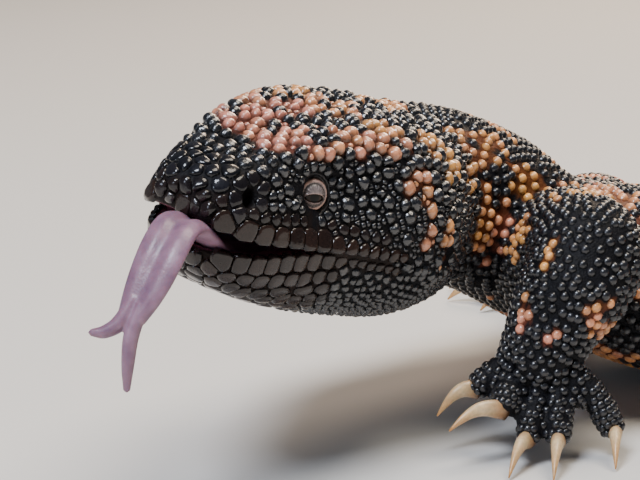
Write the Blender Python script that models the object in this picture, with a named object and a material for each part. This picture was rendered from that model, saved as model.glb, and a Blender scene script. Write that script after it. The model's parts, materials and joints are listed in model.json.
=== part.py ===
"""A life-size gila monster as a museum shows one: head turned, mouth open, forked tongue out, front end raised.

The animal faces -X, its left side is -Y and +Z is up. Sizes in the tables are millimetres.
"""

import math

import bmesh
import bpy
import numpy as np
from mathutils import Matrix, Vector

MM = 0.001
GAP = 0.3
KEYS_AROUND = 14

# The head's own frame: u runs back from the snout tip, left is the animal's left, z is up from the closed mouth.
SNOUT_TIP = (-137.7, -65.5, 45.2)
HEAD_YAW, HEAD_PITCH, HEAD_ROLL = 52.0, 7.7, 14.4
JAW_OPEN_DEG = 5.5
JAW_HINGE_U, JAW_HINGE_Z = 35.0, -2.6
CHIN_SET_BACK = 3.0
MOUTH_CORNER_U = 33.5
EYE_AT, EYE_RADIUS = (19.4, 8.7, 5.65), 2.6
NOSTRIL_AT = (5.6, 7.8, 4.5)
EAR_AT = (46.5, 20.8, -1.2)

# Half sections of the head: u, then (out, z) of top, brow, temple, upper lip, lower lip, jaw side, jaw edge, throat.
HEAD_SECTIONS = (
    (58.0, (0, 16.0), (11.3, 13.6), (17.5, 4.8), (18.0, -2.7), (17.5, -5.8), (15.6, -10.2), (9.4, -14.4), (0, -15.1)),
    (50.0, (0, 16.3), (12.4, 14.4), (19.8, 4.6), (20.4, -3.6), (19.6, -6.0), (17.3, -10.4), (10.6, -15.0), (0, -15.7)),
    (43.0, (0, 16.1), (13.1, 14.6), (20.5, 5.0), (21.3, -3.3), (20.5, -5.6), (18.4, -10.0), (11.1, -14.9), (0, -15.5)),
    (35.0, (0, 15.7), (11.9, 14.8), (18.6, 5.9), (19.8, -2.0), (19.0, -3.3), (17.3, -9.1), (10.6, -14.3), (0, -15.0)),
    (27.0, (0, 14.4), (10.4, 14.2), (14.2, 6.8), (17.1, -1.3), (16.3, -1.9), (14.8, -8.0), (9.0, -13.1), (0, -13.8)),
    (20.0, (0, 13.0), (9.3, 13.0), (10.6, 7.0), (14.6, -1.1), (13.8, -0.9), (12.5, -6.9), (7.7, -11.4), (0, -12.1)),
    (14.0, (0, 11.5), (7.8, 11.3), (9.9, 6.5), (12.9, -0.9), (12.1, -1.0), (10.8, -5.8), (6.7, -9.8), (0, -10.4)),
    (9.0, (0, 9.9), (6.3, 9.6), (9.4, 5.5), (11.0, -1.0), (10.3, -1.4), (9.1, -4.7), (5.6, -8.0), (0, -8.7)),
    (5.0, (0, 8.7), (5.2, 8.1), (8.0, 4.7), (9.0, -0.7), (8.3, -1.1), (7.3, -3.6), (4.4, -6.0), (0, -6.7)),
    (2.0, (0, 7.1), (3.8, 6.5), (6.0, 3.9), (6.7, 0.2), (6.0, -1.0), (5.0, -2.4), (2.9, -4.0), (0, -4.4)),
    (0.3, (0, 4.8), (2.2, 4.5), (3.7, 2.8), (4.0, 0.8), (3.3, -0.8), (2.5, -1.6), (1.4, -2.2), (0, -2.4)),
)

# Stations of the body from the tail tip to the neck: centre x, y, z, half width, height above, depth below.
BODY_STATIONS = (
    (247.0, 47.0, 4.4, 2.6, 2.6, 2.8),
    (243.0, 43.5, 6.4, 6.4, 6.2, 6.4),
    (233.0, 35.5, 9.4, 10.2, 9.6, 9.6),
    (212.0, 21.0, 12.6, 13.6, 12.8, 12.8),
    (186.0, 8.5, 14.8, 15.8, 14.8, 15.0),
    (160.0, 1.5, 16.2, 16.8, 15.8, 16.0),
    (138.0, -0.5, 17.4, 17.0, 16.2, 16.4),
    (118.0, 0.0, 18.6, 19.0, 17.0, 17.4),
    (98.0, 0.0, 19.0, 23.8, 18.0, 18.6),
    (70.0, 0.0, 18.8, 29.0, 18.6, 19.0),
    (38.0, 0.0, 18.2, 32.2, 18.4, 18.6),
    (4.0, 0.0, 18.0, 33.0, 17.8, 18.4),
    (-26.0, 0.0, 17.8, 31.0, 16.4, 17.8),
    (-50.0, 0.0, 18.8, 27.2, 15.4, 15.6),
    (-68.0, -0.4, 23.4, 23.4, 14.0, 13.4),
    (-82.5, -4.0, 31.2, 19.8, 15.7, 13.0),
    (-93.5, -11.2, 36.0, 18.2, 15.8, 13.6),
)
SECTION_ANGLES = (0, 30, 60, 88, 102, 124, 152, 180)
BACK_ROUNDNESS, BELLY_ROUNDNESS = 2.1, 2.5

# Where the long body is parted, as distances in millimetres from the tail tip.
TAIL_CUTS = (48.0, 96.0)
VENT_CUT, WAIST_CUT = 142.0, 236.0
TRUNK_NAMES = ("tail_tip", "tail_middle", "tail_base", "torso_rear", "torso_front", "neck")
TRUNK_STEPS, TRUNK_SIDES = (7, 5, 5, 8, 8, 4), 24

# Limbs: stations from inside the body to the wrist or ankle (x, y, z, radius), and how many belong to the upper part.
LIMBS = {
    "foreleg_left": (
        (-74, -8, 24, 9.6), (-72.5, -18.5, 27.4, 10.4), (-70.8, -28, 29.8, 10.4), (-70.6, -34.6, 30, 9.7),
        (-73.4, -37.4, 25.6, 8.8), (-76.2, -37.8, 21.4, 7.8), (-77.9, -38.4, 17.6, 7.0),
    ),
    "foreleg_right": (
        (-61, 8, 20, 10.5), (-56.4, 21, 21, 11.0), (-51.2, 33, 21, 10.2), (-47.4, 41.6, 19, 9.2),
        (-46.6, 46.6, 15.4, 8.2), (-47.8, 50.2, 12, 7.2), (-49.8, 52.8, 9.6, 6.6),
    ),
    "hindleg_left": (
        (103, -6, 20, 12.0), (95, -23, 20.6, 12.8), (85, -37, 21, 12.0), (80.5, -46, 19.6, 10.6),
        (86, -51.5, 16.0, 9.2), (93.5, -55.5, 12.4, 7.8), (99, -59.5, 9.6, 6.8),
    ),
    "hindleg_right": (
        (105, 6, 20, 12.0), (99, 23, 20.6, 12.8), (92, 37, 21, 12.0), (90, 46.5, 19.4, 10.6),
        (97, 51.5, 15.8, 9.2), (105, 55.0, 12.4, 7.8), (111, 58.5, 9.6, 6.8),
    ),
}
UPPER_SHARE = 0.5
BEND_REACH = 8.0
LEG_GAP = 0.45

# Feet: the knuckle line's centre, its half width, then each digit's tip and its claw's tip, thumb first.
FEET = {
    "foreleg_left": (
        (-79.3, -40.6, 11.0), 8.2,
        (((-88.9, -38.2, 10.0), (-95.4, -40.0, 6.8)),
         ((-86.0, -44.6, 8.4), (-95.0, -47.6, 6.6)),
         ((-82.2, -45.8, 3.9), (-86.8, -53.0, 0.5)),
         ((-77.6, -46.8, 3.9), (-80.4, -55.2, 0.5)),
         ((-67.8, -43.8, 3.8), (-69.6, -51.0, 0.5))),
    ),
    "foreleg_right": (
        (-55.2, 58.6, 5.4), 8.4,
        (((-62.8, 52.6, 2.7), (-68.8, 51.6, 0.5)),
         ((-66.8, 59.2, 2.6), (-73.4, 61.8, 0.5)),
         ((-65.6, 66.0, 2.6), (-71.2, 71.4, 0.5)),
         ((-60.0, 71.0, 2.6), (-63.2, 78.2, 0.5)),
         ((-51.0, 70.6, 2.7), (-50.2, 78.2, 0.5))),
    ),
    "hindleg_left": (
        (95.0, -68.4, 5.4), 9.2,
        (((83.8, -64.4, 2.7), (77.2, -64.4, 0.7)),
         ((82.6, -72.6, 2.7), (76.0, -76.6, 0.5)),
         ((86.2, -79.4, 2.7), (81.8, -85.6, 0.5)),
         ((92.6, -82.8, 2.7), (91.0, -90.2, 0.5)),
         ((102.4, -79.6, 2.7), (104.6, -86.4, 0.7))),
    ),
    "hindleg_right": (
        (109.4, 67.6, 5.4), 9.2,
        (((97.8, 65.6, 2.7), (91.2, 66.6, 0.7)),
         ((97.6, 73.6, 2.7), (91.4, 78.2, 0.5)),
         ((102.0, 79.6, 2.7), (98.2, 86.2, 0.5)),
         ((108.6, 82.4, 2.7), (107.6, 89.8, 0.5)),
         ((118.2, 78.4, 2.7), (120.8, 85.0, 0.7))),
    ),
}
FOOT_NAMES = {
    "foreleg_left": "forefoot_left",
    "foreleg_right": "forefoot_right",
    "hindleg_left": "hindfoot_left",
    "hindleg_right": "hindfoot_right",
}
DIGIT_RADIUS, DIGIT_ARCH, TOE_END_BULGE = 2.75, 1.7, 0.5
TOE_SPREAD, LONG_DIGIT = 0.74, 13.0
CLAW_RADIUS, CLAW_ARCH = 1.35, 1.6
PALM_THICKNESS = 4.4
ANKLE_SHARE = 0.5

# The tongue's centreline in the head's frame: u, left, z, half width.
TONGUE_PATH = (
    (25.0, 0.0, -5.3, 2.8), (20.0, 0.3, -5.5, 3.5), (14.0, 0.9, -5.2, 3.7), (8.0, 1.7, -4.0, 3.6),
    (3.0, 2.3, -1.7, 3.5), (-1.2, 2.7, -0.2, 3.5), (-4.5, 3.4, -0.8, 3.6), (-7.1, 4.1, -3.3, 3.7),
    (-8.9, 4.5, -6.8, 3.5), (-10.2, 4.7, -9.8, 3.0), (-11.1, 4.6, -12.8, 2.2),
)
TONGUE_HALF_THICKNESS, TONGUE_GROOVE = 1.15, 0.5
# Each tine of the fork from the tongue's end: u, left, z, radius.
TINES = (
    ((-10.5, 5.3, -10.6, 1.0), (-11.5, 5.6, -15.0, 1.1), (-11.8, 6.5, -18.8, 0.9), (-11.6, 7.3, -22.2, 0.5)),
    ((-10.4, 3.9, -10.2, 1.0), (-11.8, 3.4, -14.0, 1.15), (-13.0, 2.1, -15.7, 0.9), (-13.8, 0.7, -16.2, 0.5)),
)

# Bead-like scales of the head's top and cheeks, raised on the head.
KNOB_SPACING, KNOB_RADIUS, KNOB_HEIGHT, KNOB_SINK = 5.5, 2.4, 0.8, 0.7
KNOB_FRONT_U, KNOB_BACK_U = 6.0, 55.0
KNOB_SIDES = 5
KNOB_SEED = 11

# Plates along both lips, longer than they are high.
LIP_PLATE_LENGTH, LIP_PLATE_HEIGHT, LIP_PLATE_PROUD, LIP_PLATE_SINK = 1.75, 1.25, 0.35, 0.6
LIP_PLATE_STEP = 3.6
LIP_PLATE_FIRST_U = 4.0

ANIMAL = bpy.data.collections.new("gila_monster")
CUTTERS = bpy.data.collections.new("cutters")


def clear_scene():
    for obj in list(bpy.data.objects):
        bpy.data.objects.remove(obj, do_unlink=True)
    for collection in (ANIMAL, CUTTERS):
        bpy.context.scene.collection.children.link(collection)


def finish(name, colour, roughness):
    """A Principled material of one colour."""
    material = bpy.data.materials.new(name)
    material.use_nodes = True
    shader = material.node_tree.nodes["Principled BSDF"]
    shader.inputs["Base Color"].default_value = (*colour, 1.0)
    shader.inputs["Roughness"].default_value = roughness
    shader.inputs["Metallic"].default_value = 0.0
    material.diffuse_color = (*colour, 1.0)
    return material


def unit(vector):
    return np.asarray(vector, float) / np.linalg.norm(vector)


class Loft:
    """A smooth skin through rings of key points, each ring a station along the form."""

    def __init__(self, rings):
        self.rings = np.array(rings, float)
        steps = np.linalg.norm(np.diff(self.rings.mean(axis=1), axis=0), axis=1)
        self.knots = np.concatenate([[0.0], np.cumsum(steps)])
        self.length = self.knots[-1]

    def ring(self, along):
        """The key points at a distance along, by a cubic through the stations."""
        knots, rings = self.knots, self.rings
        i = int(np.clip(np.searchsorted(knots, along) - 1, 0, len(knots) - 2))
        span = knots[i + 1] - knots[i]
        t = (along - knots[i]) / span

        def slope(k):
            before, after = max(k - 1, 0), min(k + 1, len(knots) - 1)
            return (rings[after] - rings[before]) / (knots[after] - knots[before])

        return (
            (2 * t**3 - 3 * t**2 + 1) * rings[i]
            + (t**3 - 2 * t**2 + t) * span * slope(i)
            + (3 * t**2 - 2 * t**3) * rings[i + 1]
            + (t**3 - t**2) * span * slope(i + 1)
        )

    def circle(self, along, count, grow=0.0):
        """Points around the skin at a distance along, pushed out by grow."""
        keys = self.ring(along)
        k = len(keys)
        at = np.arange(count) * k / count
        i = at.astype(int)
        t = (at - i)[:, None]
        a, b, c, d = keys[(i - 1) % k], keys[i], keys[(i + 1) % k], keys[(i + 2) % k]
        points = 0.5 * (
            2 * b + (c - a) * t + (2 * a - 5 * b + 4 * c - d) * t**2 + (3 * b - a - 3 * c + d) * t**3
        )
        if grow:
            outward = points - points.mean(axis=0)
            points = points + grow * outward / np.linalg.norm(outward, axis=1)[:, None]
        return points

    def point(self, along, around):
        """The skin's point and outward normal at a distance along and a share of the way round."""
        count = 96
        ring = self.circle(along, count)
        near = self.circle(min(along + 0.4, self.length), count)
        i = int(round(around * count)) % count
        across = ring[(i + 1) % count] - ring[i - 1]
        normal = np.cross(across, near[i] - ring[i])
        if normal @ (ring[i] - ring.mean(axis=0)) < 0:
            normal = -normal
        return ring[i], unit(normal)


def new_object(name, mesh, collection, material=None):
    obj = bpy.data.objects.new(name, mesh)
    collection.objects.link(obj)
    if material:
        mesh.materials.append(material)
    if collection is CUTTERS:
        obj.hide_render = True
        obj.display_type = "WIRE"
    return obj


def mesh_of_rings(name, rings, start_bulge=0.0, end_bulge=0.0):
    """A closed mesh through rings of points in millimetres, each end closed by a fan to its middle."""
    bm = bmesh.new()
    rows = [[bm.verts.new(Vector(p) * MM) for p in ring] for ring in rings]
    count = len(rows[0])
    for first, second in zip(rows, rows[1:]):
        for i in range(count):
            j = (i + 1) % count
            bm.faces.new((first[i], first[j], second[j], second[i]))
    for row, ring, inner, bulge in (
        (rows[0], rings[0], rings[1], start_bulge),
        (rows[-1], rings[-1], rings[-2], end_bulge),
    ):
        middle = np.mean(ring, axis=0)
        if bulge:
            middle = middle + bulge * unit(middle - np.mean(inner, axis=0))
        tip = bm.verts.new(Vector(middle) * MM)
        for i in range(count):
            bm.faces.new((row[i], row[(i + 1) % count], tip))
    bmesh.ops.recalc_face_normals(bm, faces=bm.faces)
    mesh = bpy.data.meshes.new(name)
    bm.to_mesh(mesh)
    bm.free()
    return mesh


def loft_mesh(name, loft, start, end, steps, count, bulges=(0.0, 0.0), grow=0.0):
    alongs = np.linspace(start, end, steps + 1)
    return mesh_of_rings(name, [loft.circle(a, count, grow) for a in alongs], *bulges)


def ball_mesh(name, centre, axes, radii, segments, rings):
    """A closed ellipsoid in millimetres, its radii along the three given axes."""
    bm = bmesh.new()
    bmesh.ops.create_uvsphere(bm, u_segments=segments, v_segments=rings, radius=1.0)
    turn = Matrix([[axes[c][r] * radii[c] * MM for c in range(3)] for r in range(3)]).to_4x4()
    turn.translation = Vector(centre) * MM
    bmesh.ops.transform(bm, matrix=turn, verts=bm.verts)
    bmesh.ops.recalc_face_normals(bm, faces=bm.faces)
    mesh = bpy.data.meshes.new(name)
    bm.to_mesh(mesh)
    bm.free()
    return mesh


def evaluated_mesh(obj):
    graph = bpy.context.evaluated_depsgraph_get()
    return bpy.data.meshes.new_from_object(obj.evaluated_get(graph))


def boolean(obj, meshes, operation, solver="EXACT"):
    """One Boolean of obj with all the meshes, applied, and the helpers removed."""
    group = bpy.data.collections.new("pieces")
    CUTTERS.children.link(group)
    for i, mesh in enumerate(meshes):
        piece = bpy.data.objects.new(f"piece_{i}", mesh)
        group.objects.link(piece)
        piece.hide_render = True
    modifier = obj.modifiers.new(operation.lower(), "BOOLEAN")
    modifier.operation = operation
    modifier.solver = solver
    modifier.operand_type = "COLLECTION"
    modifier.collection = group
    made = evaluated_mesh(obj)
    obj.modifiers.clear()
    obj.data = made
    for piece in list(group.objects):
        bpy.data.objects.remove(piece, do_unlink=True)
    bpy.data.collections.remove(group)


def keep_largest(obj):
    """Leaves only the largest closed surface of the object."""
    bm = bmesh.new()
    bm.from_mesh(obj.data)
    bmesh.ops.remove_doubles(bm, verts=bm.verts, dist=1e-7)
    left = set(bm.faces)
    shells = []
    while left:
        shell, edge = set(), [left.pop()]
        while edge:
            face = edge.pop()
            shell.add(face)
            for neighbour in {f for e in face.edges for f in e.link_faces} & left:
                left.discard(neighbour)
                edge.append(neighbour)
        shells.append(shell)
    largest = max(shells, key=lambda shell: sum(f.calc_area() for f in shell))
    bmesh.ops.delete(bm, geom=[f for f in bm.faces if f not in largest], context="FACES")
    bm.to_mesh(obj.data)
    bm.free()


def cut_at_floor(obj):
    """A small flat where the piece dips under the floor."""
    if min(v.co.z for v in obj.data.vertices) >= 0:
        return
    slab = bmesh.new()
    bmesh.ops.create_cube(slab, size=1.0)
    bmesh.ops.transform(slab, matrix=Matrix.Translation((0, 0, -0.5)), verts=slab.verts)
    mesh = bpy.data.meshes.new("below_floor")
    slab.to_mesh(mesh)
    slab.free()
    boolean(obj, [mesh], "DIFFERENCE")


def shade(obj, degrees=40):
    obj.data.shade_smooth()
    obj.data.set_sharp_from_angle(angle=math.radians(degrees))


def head_matrix():
    """Columns back, left and up of the head, and the snout tip's place, in millimetres."""
    yaw, pitch, roll = map(math.radians, (HEAD_YAW, HEAD_PITCH, HEAD_ROLL))
    forward = np.array([-math.cos(yaw) * math.cos(pitch), -math.sin(yaw) * math.cos(pitch), math.sin(pitch)])
    level_left = unit(np.cross((0, 0, 1), forward))
    level_up = np.cross(forward, level_left)
    left = math.cos(roll) * level_left - math.sin(roll) * level_up
    up = np.cross(forward, left)
    return np.array([-forward, left, up]).T, np.array(SNOUT_TIP)


HEAD_AXES, HEAD_ORIGIN = head_matrix()


def head_point(u, left, z):
    return HEAD_AXES @ np.array([u, left, z], float) + HEAD_ORIGIN


def smoothstep(low, high, x):
    t = min(max((x - low) / (high - low), 0.0), 1.0)
    return t * t * (3 - 2 * t)


def jaw_turn(u, z):
    """Where a point of the closed lower jaw goes as the jaw opens, fading out behind the mouth's corner."""
    angle = math.radians(JAW_OPEN_DEG) * (1 - smoothstep(MOUTH_CORNER_U - 3, MOUTH_CORNER_U + 13, u))
    du, dz = u - JAW_HINGE_U, z - JAW_HINGE_Z
    return (
        JAW_HINGE_U + du * math.cos(angle) - dz * math.sin(angle),
        JAW_HINGE_Z + dz * math.cos(angle) + du * math.sin(angle),
    )


def head_ring(section):
    u, keys = section[0], section[1:]
    half = []
    for k, (out, z) in enumerate(keys):
        if k < 4:
            half.append((u, out, z))
        else:
            jaw_u, jaw_z = jaw_turn(u + CHIN_SET_BACK * math.exp(-u / 6), z)
            half.append((jaw_u, out, jaw_z))
    other = [(u_, -out, z) for u_, out, z in half[-2:0:-1]]
    return [head_point(*p) for p in half + other]


def body_ring(centre, forward, width, above, below):
    """A rounded section, a little flatter under the belly than over the back."""
    left = unit(np.cross((0, 0, 1), forward))
    up = np.cross(forward, left)
    half = []
    for degrees in SECTION_ANGLES:
        angle = math.radians(degrees)
        power = 2 / (BACK_ROUNDNESS if degrees <= 90 else BELLY_ROUNDNESS)
        height = above if degrees <= 90 else below
        out = width * abs(math.sin(angle)) ** power
        z = math.copysign(height * abs(math.cos(angle)) ** power, math.cos(angle))
        half.append((out, z))
    other = [(-out, z) for out, z in half[-2:0:-1]]
    return [np.asarray(centre) + left * out + up * z for out, z in half + other]


def trunk_loft():
    """The one long skin from the tail tip to the snout."""
    centres = [np.array(s[:3], float) for s in BODY_STATIONS]
    neck_end = head_point(HEAD_SECTIONS[0][0], 0, 0)
    path = centres + [neck_end]
    rings = []
    for i, station in enumerate(BODY_STATIONS):
        forward = unit(path[i + 1] - path[max(i - 1, 0)])
        rings.append(body_ring(centres[i], forward, *station[3:]))
    return Loft(rings + [head_ring(s) for s in HEAD_SECTIONS])


def limb_rings(stations, count=KEYS_AROUND):
    """Round rings along a bent limb, each turned as little as possible from the one before."""
    centres = np.array([s[:3] for s in stations], float)
    side = np.array([0.0, 0.0, 1.0])
    rings = []
    for i, station in enumerate(stations):
        forward = unit(centres[min(i + 1, len(centres) - 1)] - centres[max(i - 1, 0)])
        side = unit(side - (side @ forward) * forward)
        other = np.cross(forward, side)
        angles = np.arange(count) * 2 * math.pi / count
        rings.append([centres[i] + station[3] * (math.cos(a) * side + math.sin(a) * other) for a in angles])
    return rings


def flat_ring(centre, forward, across, half_width, half_height, count=KEYS_AROUND):
    """An oval ring whose long axis lies along across."""
    across = unit(across - (across @ forward) * forward)
    normal = np.cross(forward, across)
    angles = np.arange(count) * 2 * math.pi / count
    return [
        centre + half_width * math.cos(a) * across + half_height * math.sin(a) * normal for a in angles
    ]


def trunk_lengths(trunk):
    """Name, start, end and number of steps of each length of the trunk behind the head."""
    neck_end = trunk.knots[len(BODY_STATIONS)]
    shoulder = trunk.knots[len(BODY_STATIONS) - 2]
    cuts = (0.0, *TAIL_CUTS, VENT_CUT, WAIST_CUT, shoulder, neck_end)
    return list(zip(TRUNK_NAMES, cuts, cuts[1:], TRUNK_STEPS))


def make_trunk(trunk, skin):
    """Neck, torso and tail, each a length of the one skin, parted by thin gaps."""
    for name, start, end, count in trunk_lengths(trunk):
        first = start + GAP / 2 if start else 0.0
        mesh = loft_mesh(name, trunk, first, end - GAP / 2, count, TRUNK_SIDES, (0.6 if not start else 0.0, 0.0))
        obj = new_object(name, mesh, ANIMAL, skin)
        cut_at_floor(obj)
        shade(obj)


def lip_line(u, lower):
    """Height of the upper or the lower lip's edge in the head's frame."""
    us = [s[0] for s in HEAD_SECTIONS][::-1]
    key = 5 if lower else 4
    edge = np.interp(u, us, [s[key][1] for s in HEAD_SECTIONS][::-1])
    if lower:
        return jaw_turn(u, edge + 0.45)[1]
    return edge - 0.45


def block_below(name, outline):
    """A slab across the head whose side outline is given as (u, z) points."""
    width = 40.0
    bm = bmesh.new()
    near = [bm.verts.new(Vector(head_point(u, width, z)) * MM) for u, z in outline]
    far = [bm.verts.new(Vector(head_point(u, -width, z)) * MM) for u, z in outline]
    bm.faces.new(near)
    bm.faces.new(far)
    for i in range(len(outline)):
        j = (i + 1) % len(outline)
        bm.faces.new((near[i], near[j], far[j], far[i]))
    bmesh.ops.recalc_face_normals(bm, faces=bm.faces)
    bmesh.ops.triangulate(bm, faces=bm.faces)
    mesh = bpy.data.meshes.new(name)
    bm.to_mesh(mesh)
    bm.free()
    return mesh


def jaw_block(name, lower, gap):
    """All that lies under one lip and ahead of the jaw's hinge."""
    front, deep = -6.0, -40.0
    us = np.linspace(0.0, MOUTH_CORNER_U, 12)
    edge = [(u, lip_line(u, lower)) for u in us]
    corner_z = 0.5 * (lip_line(MOUTH_CORNER_U, True) + lip_line(MOUTH_CORNER_U, False))
    edge[-1] = (MOUTH_CORNER_U, corner_z + (-gap / 2 if lower else gap / 2))
    back_u = JAW_HINGE_U + 1.0 + (0 if lower else gap)
    outline = [(front, edge[0][1]), *edge, (back_u, edge[-1][1]), (back_u + 1.5, deep), (front, deep)]
    return block_below(name, outline)


def eye_axes(side):
    """Outward, forward and up directions of an eye, which looks out and a little forward."""
    forward, left, up = -HEAD_AXES[:, 0], HEAD_AXES[:, 1] * side, HEAD_AXES[:, 2]
    outward = unit(left + 0.28 * forward + 0.12 * up)
    along = unit(forward - (forward @ outward) * outward)
    return outward, along, np.cross(outward, along) * side


def lid_mesh(side):
    """The thick oval rim of both lids round an eye."""
    outward, along, up = eye_axes(side)
    centre = head_point(EYE_AT[0], EYE_AT[1] * side, EYE_AT[2]) + 1.4 * outward
    rim, tube_points, ring_points = [], 7, 14
    for i in range(ring_points):
        angle = 2 * math.pi * i / ring_points
        out = math.cos(angle) * along + math.sin(angle) * up
        middle = centre + 3.0 * math.cos(angle) * along + 2.7 * math.sin(angle) * up
        rim.append([
            middle + 0.9 * (math.cos(b) * out + 1.1 * math.sin(b) * outward)
            for b in (2 * math.pi * j / tube_points for j in range(tube_points))
        ])
    bm = bmesh.new()
    rows = [[bm.verts.new(Vector(p) * MM) for p in ring] for ring in rim]
    for i in range(ring_points):
        first, second = rows[i], rows[(i + 1) % ring_points]
        for j in range(tube_points):
            k = (j + 1) % tube_points
            bm.faces.new((first[j], first[k], second[k], second[j]))
    bmesh.ops.recalc_face_normals(bm, faces=bm.faces)
    mesh = bpy.data.meshes.new("lids")
    bm.to_mesh(mesh)
    bm.free()
    return mesh


def dome_mesh(place, along, normal, half_length, half_width, height, sink, sides):
    """A low rounded bead or plate whose root sinks into what it grows from."""
    along = unit(along - (along @ normal) * normal)
    across = np.cross(normal, along)
    rings = []
    for share, rise in ((1.05, -sink), (0.68, 0.72 * height)):
        angles = (np.arange(sides) + 0.5) * 2 * math.pi / sides
        rings.append([
            place + share * (half_length * math.cos(a) * along + half_width * math.sin(a) * across) + rise * normal
            for a in angles
        ])
    return mesh_of_rings("dome", rings, 0.0, 0.28 * height)


def head_knobs(trunk):
    """Beads in staggered rows over the top of the head, the brows and the cheeks."""
    rng = np.random.default_rng(KNOB_SEED)
    tip = trunk.length
    eyes = [head_point(EYE_AT[0], EYE_AT[1] * side, EYE_AT[2]) for side in (1, -1)]
    ears = [head_point(EAR_AT[0], EAR_AT[1] * side, EAR_AT[2]) for side in (1, -1)]
    nostrils = [head_point(NOSTRIL_AT[0], NOSTRIL_AT[1] * side, NOSTRIL_AT[2]) for side in (1, -1)]
    knobs = []
    rows = int((KNOB_BACK_U - KNOB_FRONT_U) / (KNOB_SPACING * 0.87))
    for row in range(rows + 1):
        u = KNOB_FRONT_U + row * KNOB_SPACING * 0.87
        ring = trunk.circle(tip - u, 96)
        girth = np.linalg.norm(ring - np.roll(ring, 1, axis=0), axis=1).sum()
        reach = 0.262 if u < MOUTH_CORNER_U + 4 else 0.30
        step = KNOB_SPACING / girth
        count = int(reach / step)
        for i in range(-count, count + 1):
            around = (i + 0.5 * (row % 2)) * step
            if abs(around) > reach:
                continue
            place, normal = trunk.point(tip - u, around % 1.0)
            radius = KNOB_RADIUS * rng.uniform(0.88, 1.06) * (0.72 if u < 12 else 1.0)
            if min(np.linalg.norm(place - e) for e in eyes) < 4.8 + radius * 0.7:
                continue
            if min(np.linalg.norm(place - e) for e in nostrils) < 2.4 + radius * 0.6:
                continue
            if min(np.linalg.norm(place - e) for e in ears) < 3.4:
                continue
            height = KNOB_HEIGHT * rng.uniform(0.85, 1.1)
            back = HEAD_AXES[:, 0]
            knobs.append(dome_mesh(place, back, normal, radius, radius, height, KNOB_SINK, KNOB_SIDES))
    return knobs


def lip_plates(trunk, lower):
    """A row of plates along one lip on both sides of the head."""
    plates = []
    surface = trunk.circle
    us = np.arange(LIP_PLATE_FIRST_U, MOUTH_CORNER_U - 1.0, LIP_PLATE_STEP)
    for u in us:
        along = trunk.length - (u + (0.9 if lower else 0.0))
        ring = surface(along, 180)
        local = (ring - HEAD_ORIGIN) @ HEAD_AXES
        target = lip_line(u, lower) + (-1.3 if lower else 1.3)
        for side in (1, -1):
            on_side = np.where(local[:, 1] * side > 0)[0]
            i = on_side[np.argmin(np.abs(local[on_side, 2] - target))]
            place, normal = trunk.point(along, i / 180)
            plates.append(
                dome_mesh(
                    place, HEAD_AXES[:, 0], normal, LIP_PLATE_LENGTH, LIP_PLATE_HEIGHT,
                    LIP_PLATE_PROUD, LIP_PLATE_SINK, 6,
                )
            )
    return plates


def make_head(trunk, skin, lip_skin):
    """Cranium with the upper jaw, and the lower jaw, cut from the same skin."""
    count, steps = 28, 22
    first = trunk.knots[len(BODY_STATIONS)] + GAP / 2
    head = new_object("head", loft_mesh("head", trunk, first, trunk.length, steps, count, (0.0, 0.9)), ANIMAL, skin)
    jaw = new_object("lower_jaw", head.data.copy(), ANIMAL)
    jaw.data.materials.clear()
    jaw.data.materials.append(lip_skin)

    axes = HEAD_AXES.T
    palate = ball_mesh("palate", head_point(15.5, 0, lip_line(15, False)), axes, (13.5, 8.6, 2.2), 14, 6)
    floor = ball_mesh("mouth_floor", head_point(16.5, 0, lip_line(16, True)), axes, (13.0, 8.4, 2.7), 14, 6)

    raised = [lid_mesh(1), lid_mesh(-1), *head_knobs(trunk), *lip_plates(trunk, False)]
    boolean(head, raised, "UNION")
    boolean(head, [jaw_block("below_upper_lip", False, GAP)], "DIFFERENCE")
    cuts = [palate]
    for side in (1, -1):
        place = head_point(EYE_AT[0], EYE_AT[1] * side, EYE_AT[2])
        cuts.append(ball_mesh("socket", place, np.eye(3), [EYE_RADIUS + GAP] * 3, 14, 8))
        nostril = head_point(NOSTRIL_AT[0], (NOSTRIL_AT[1] + 0.5) * side, NOSTRIL_AT[2])
        cuts.append(ball_mesh("nostril", nostril, axes, (1.15, 1.9, 1.45), 8, 5))
        ear = head_point(EAR_AT[0], EAR_AT[1] * side, EAR_AT[2])
        cuts.append(ball_mesh("ear", ear, axes, (0.9, 1.7, 2.8), 8, 5))
    boolean(head, cuts, "DIFFERENCE")
    keep_largest(head)

    boolean(jaw, lip_plates(trunk, True), "UNION")
    boolean(jaw, [jaw_block("under_lower_lip", True, GAP)], "INTERSECT")
    boolean(jaw, [floor], "DIFFERENCE")
    keep_largest(jaw)
    shade(head, 50)
    shade(jaw, 50)


def make_eyes(material):
    for side, word in ((1, "left"), (-1, "right")):
        place = head_point(EYE_AT[0], EYE_AT[1] * side, EYE_AT[2])
        obj = new_object(
            f"eye_{word}", ball_mesh("eye", place, np.eye(3), [EYE_RADIUS] * 3, 14, 9), ANIMAL, material
        )
        shade(obj)


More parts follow.
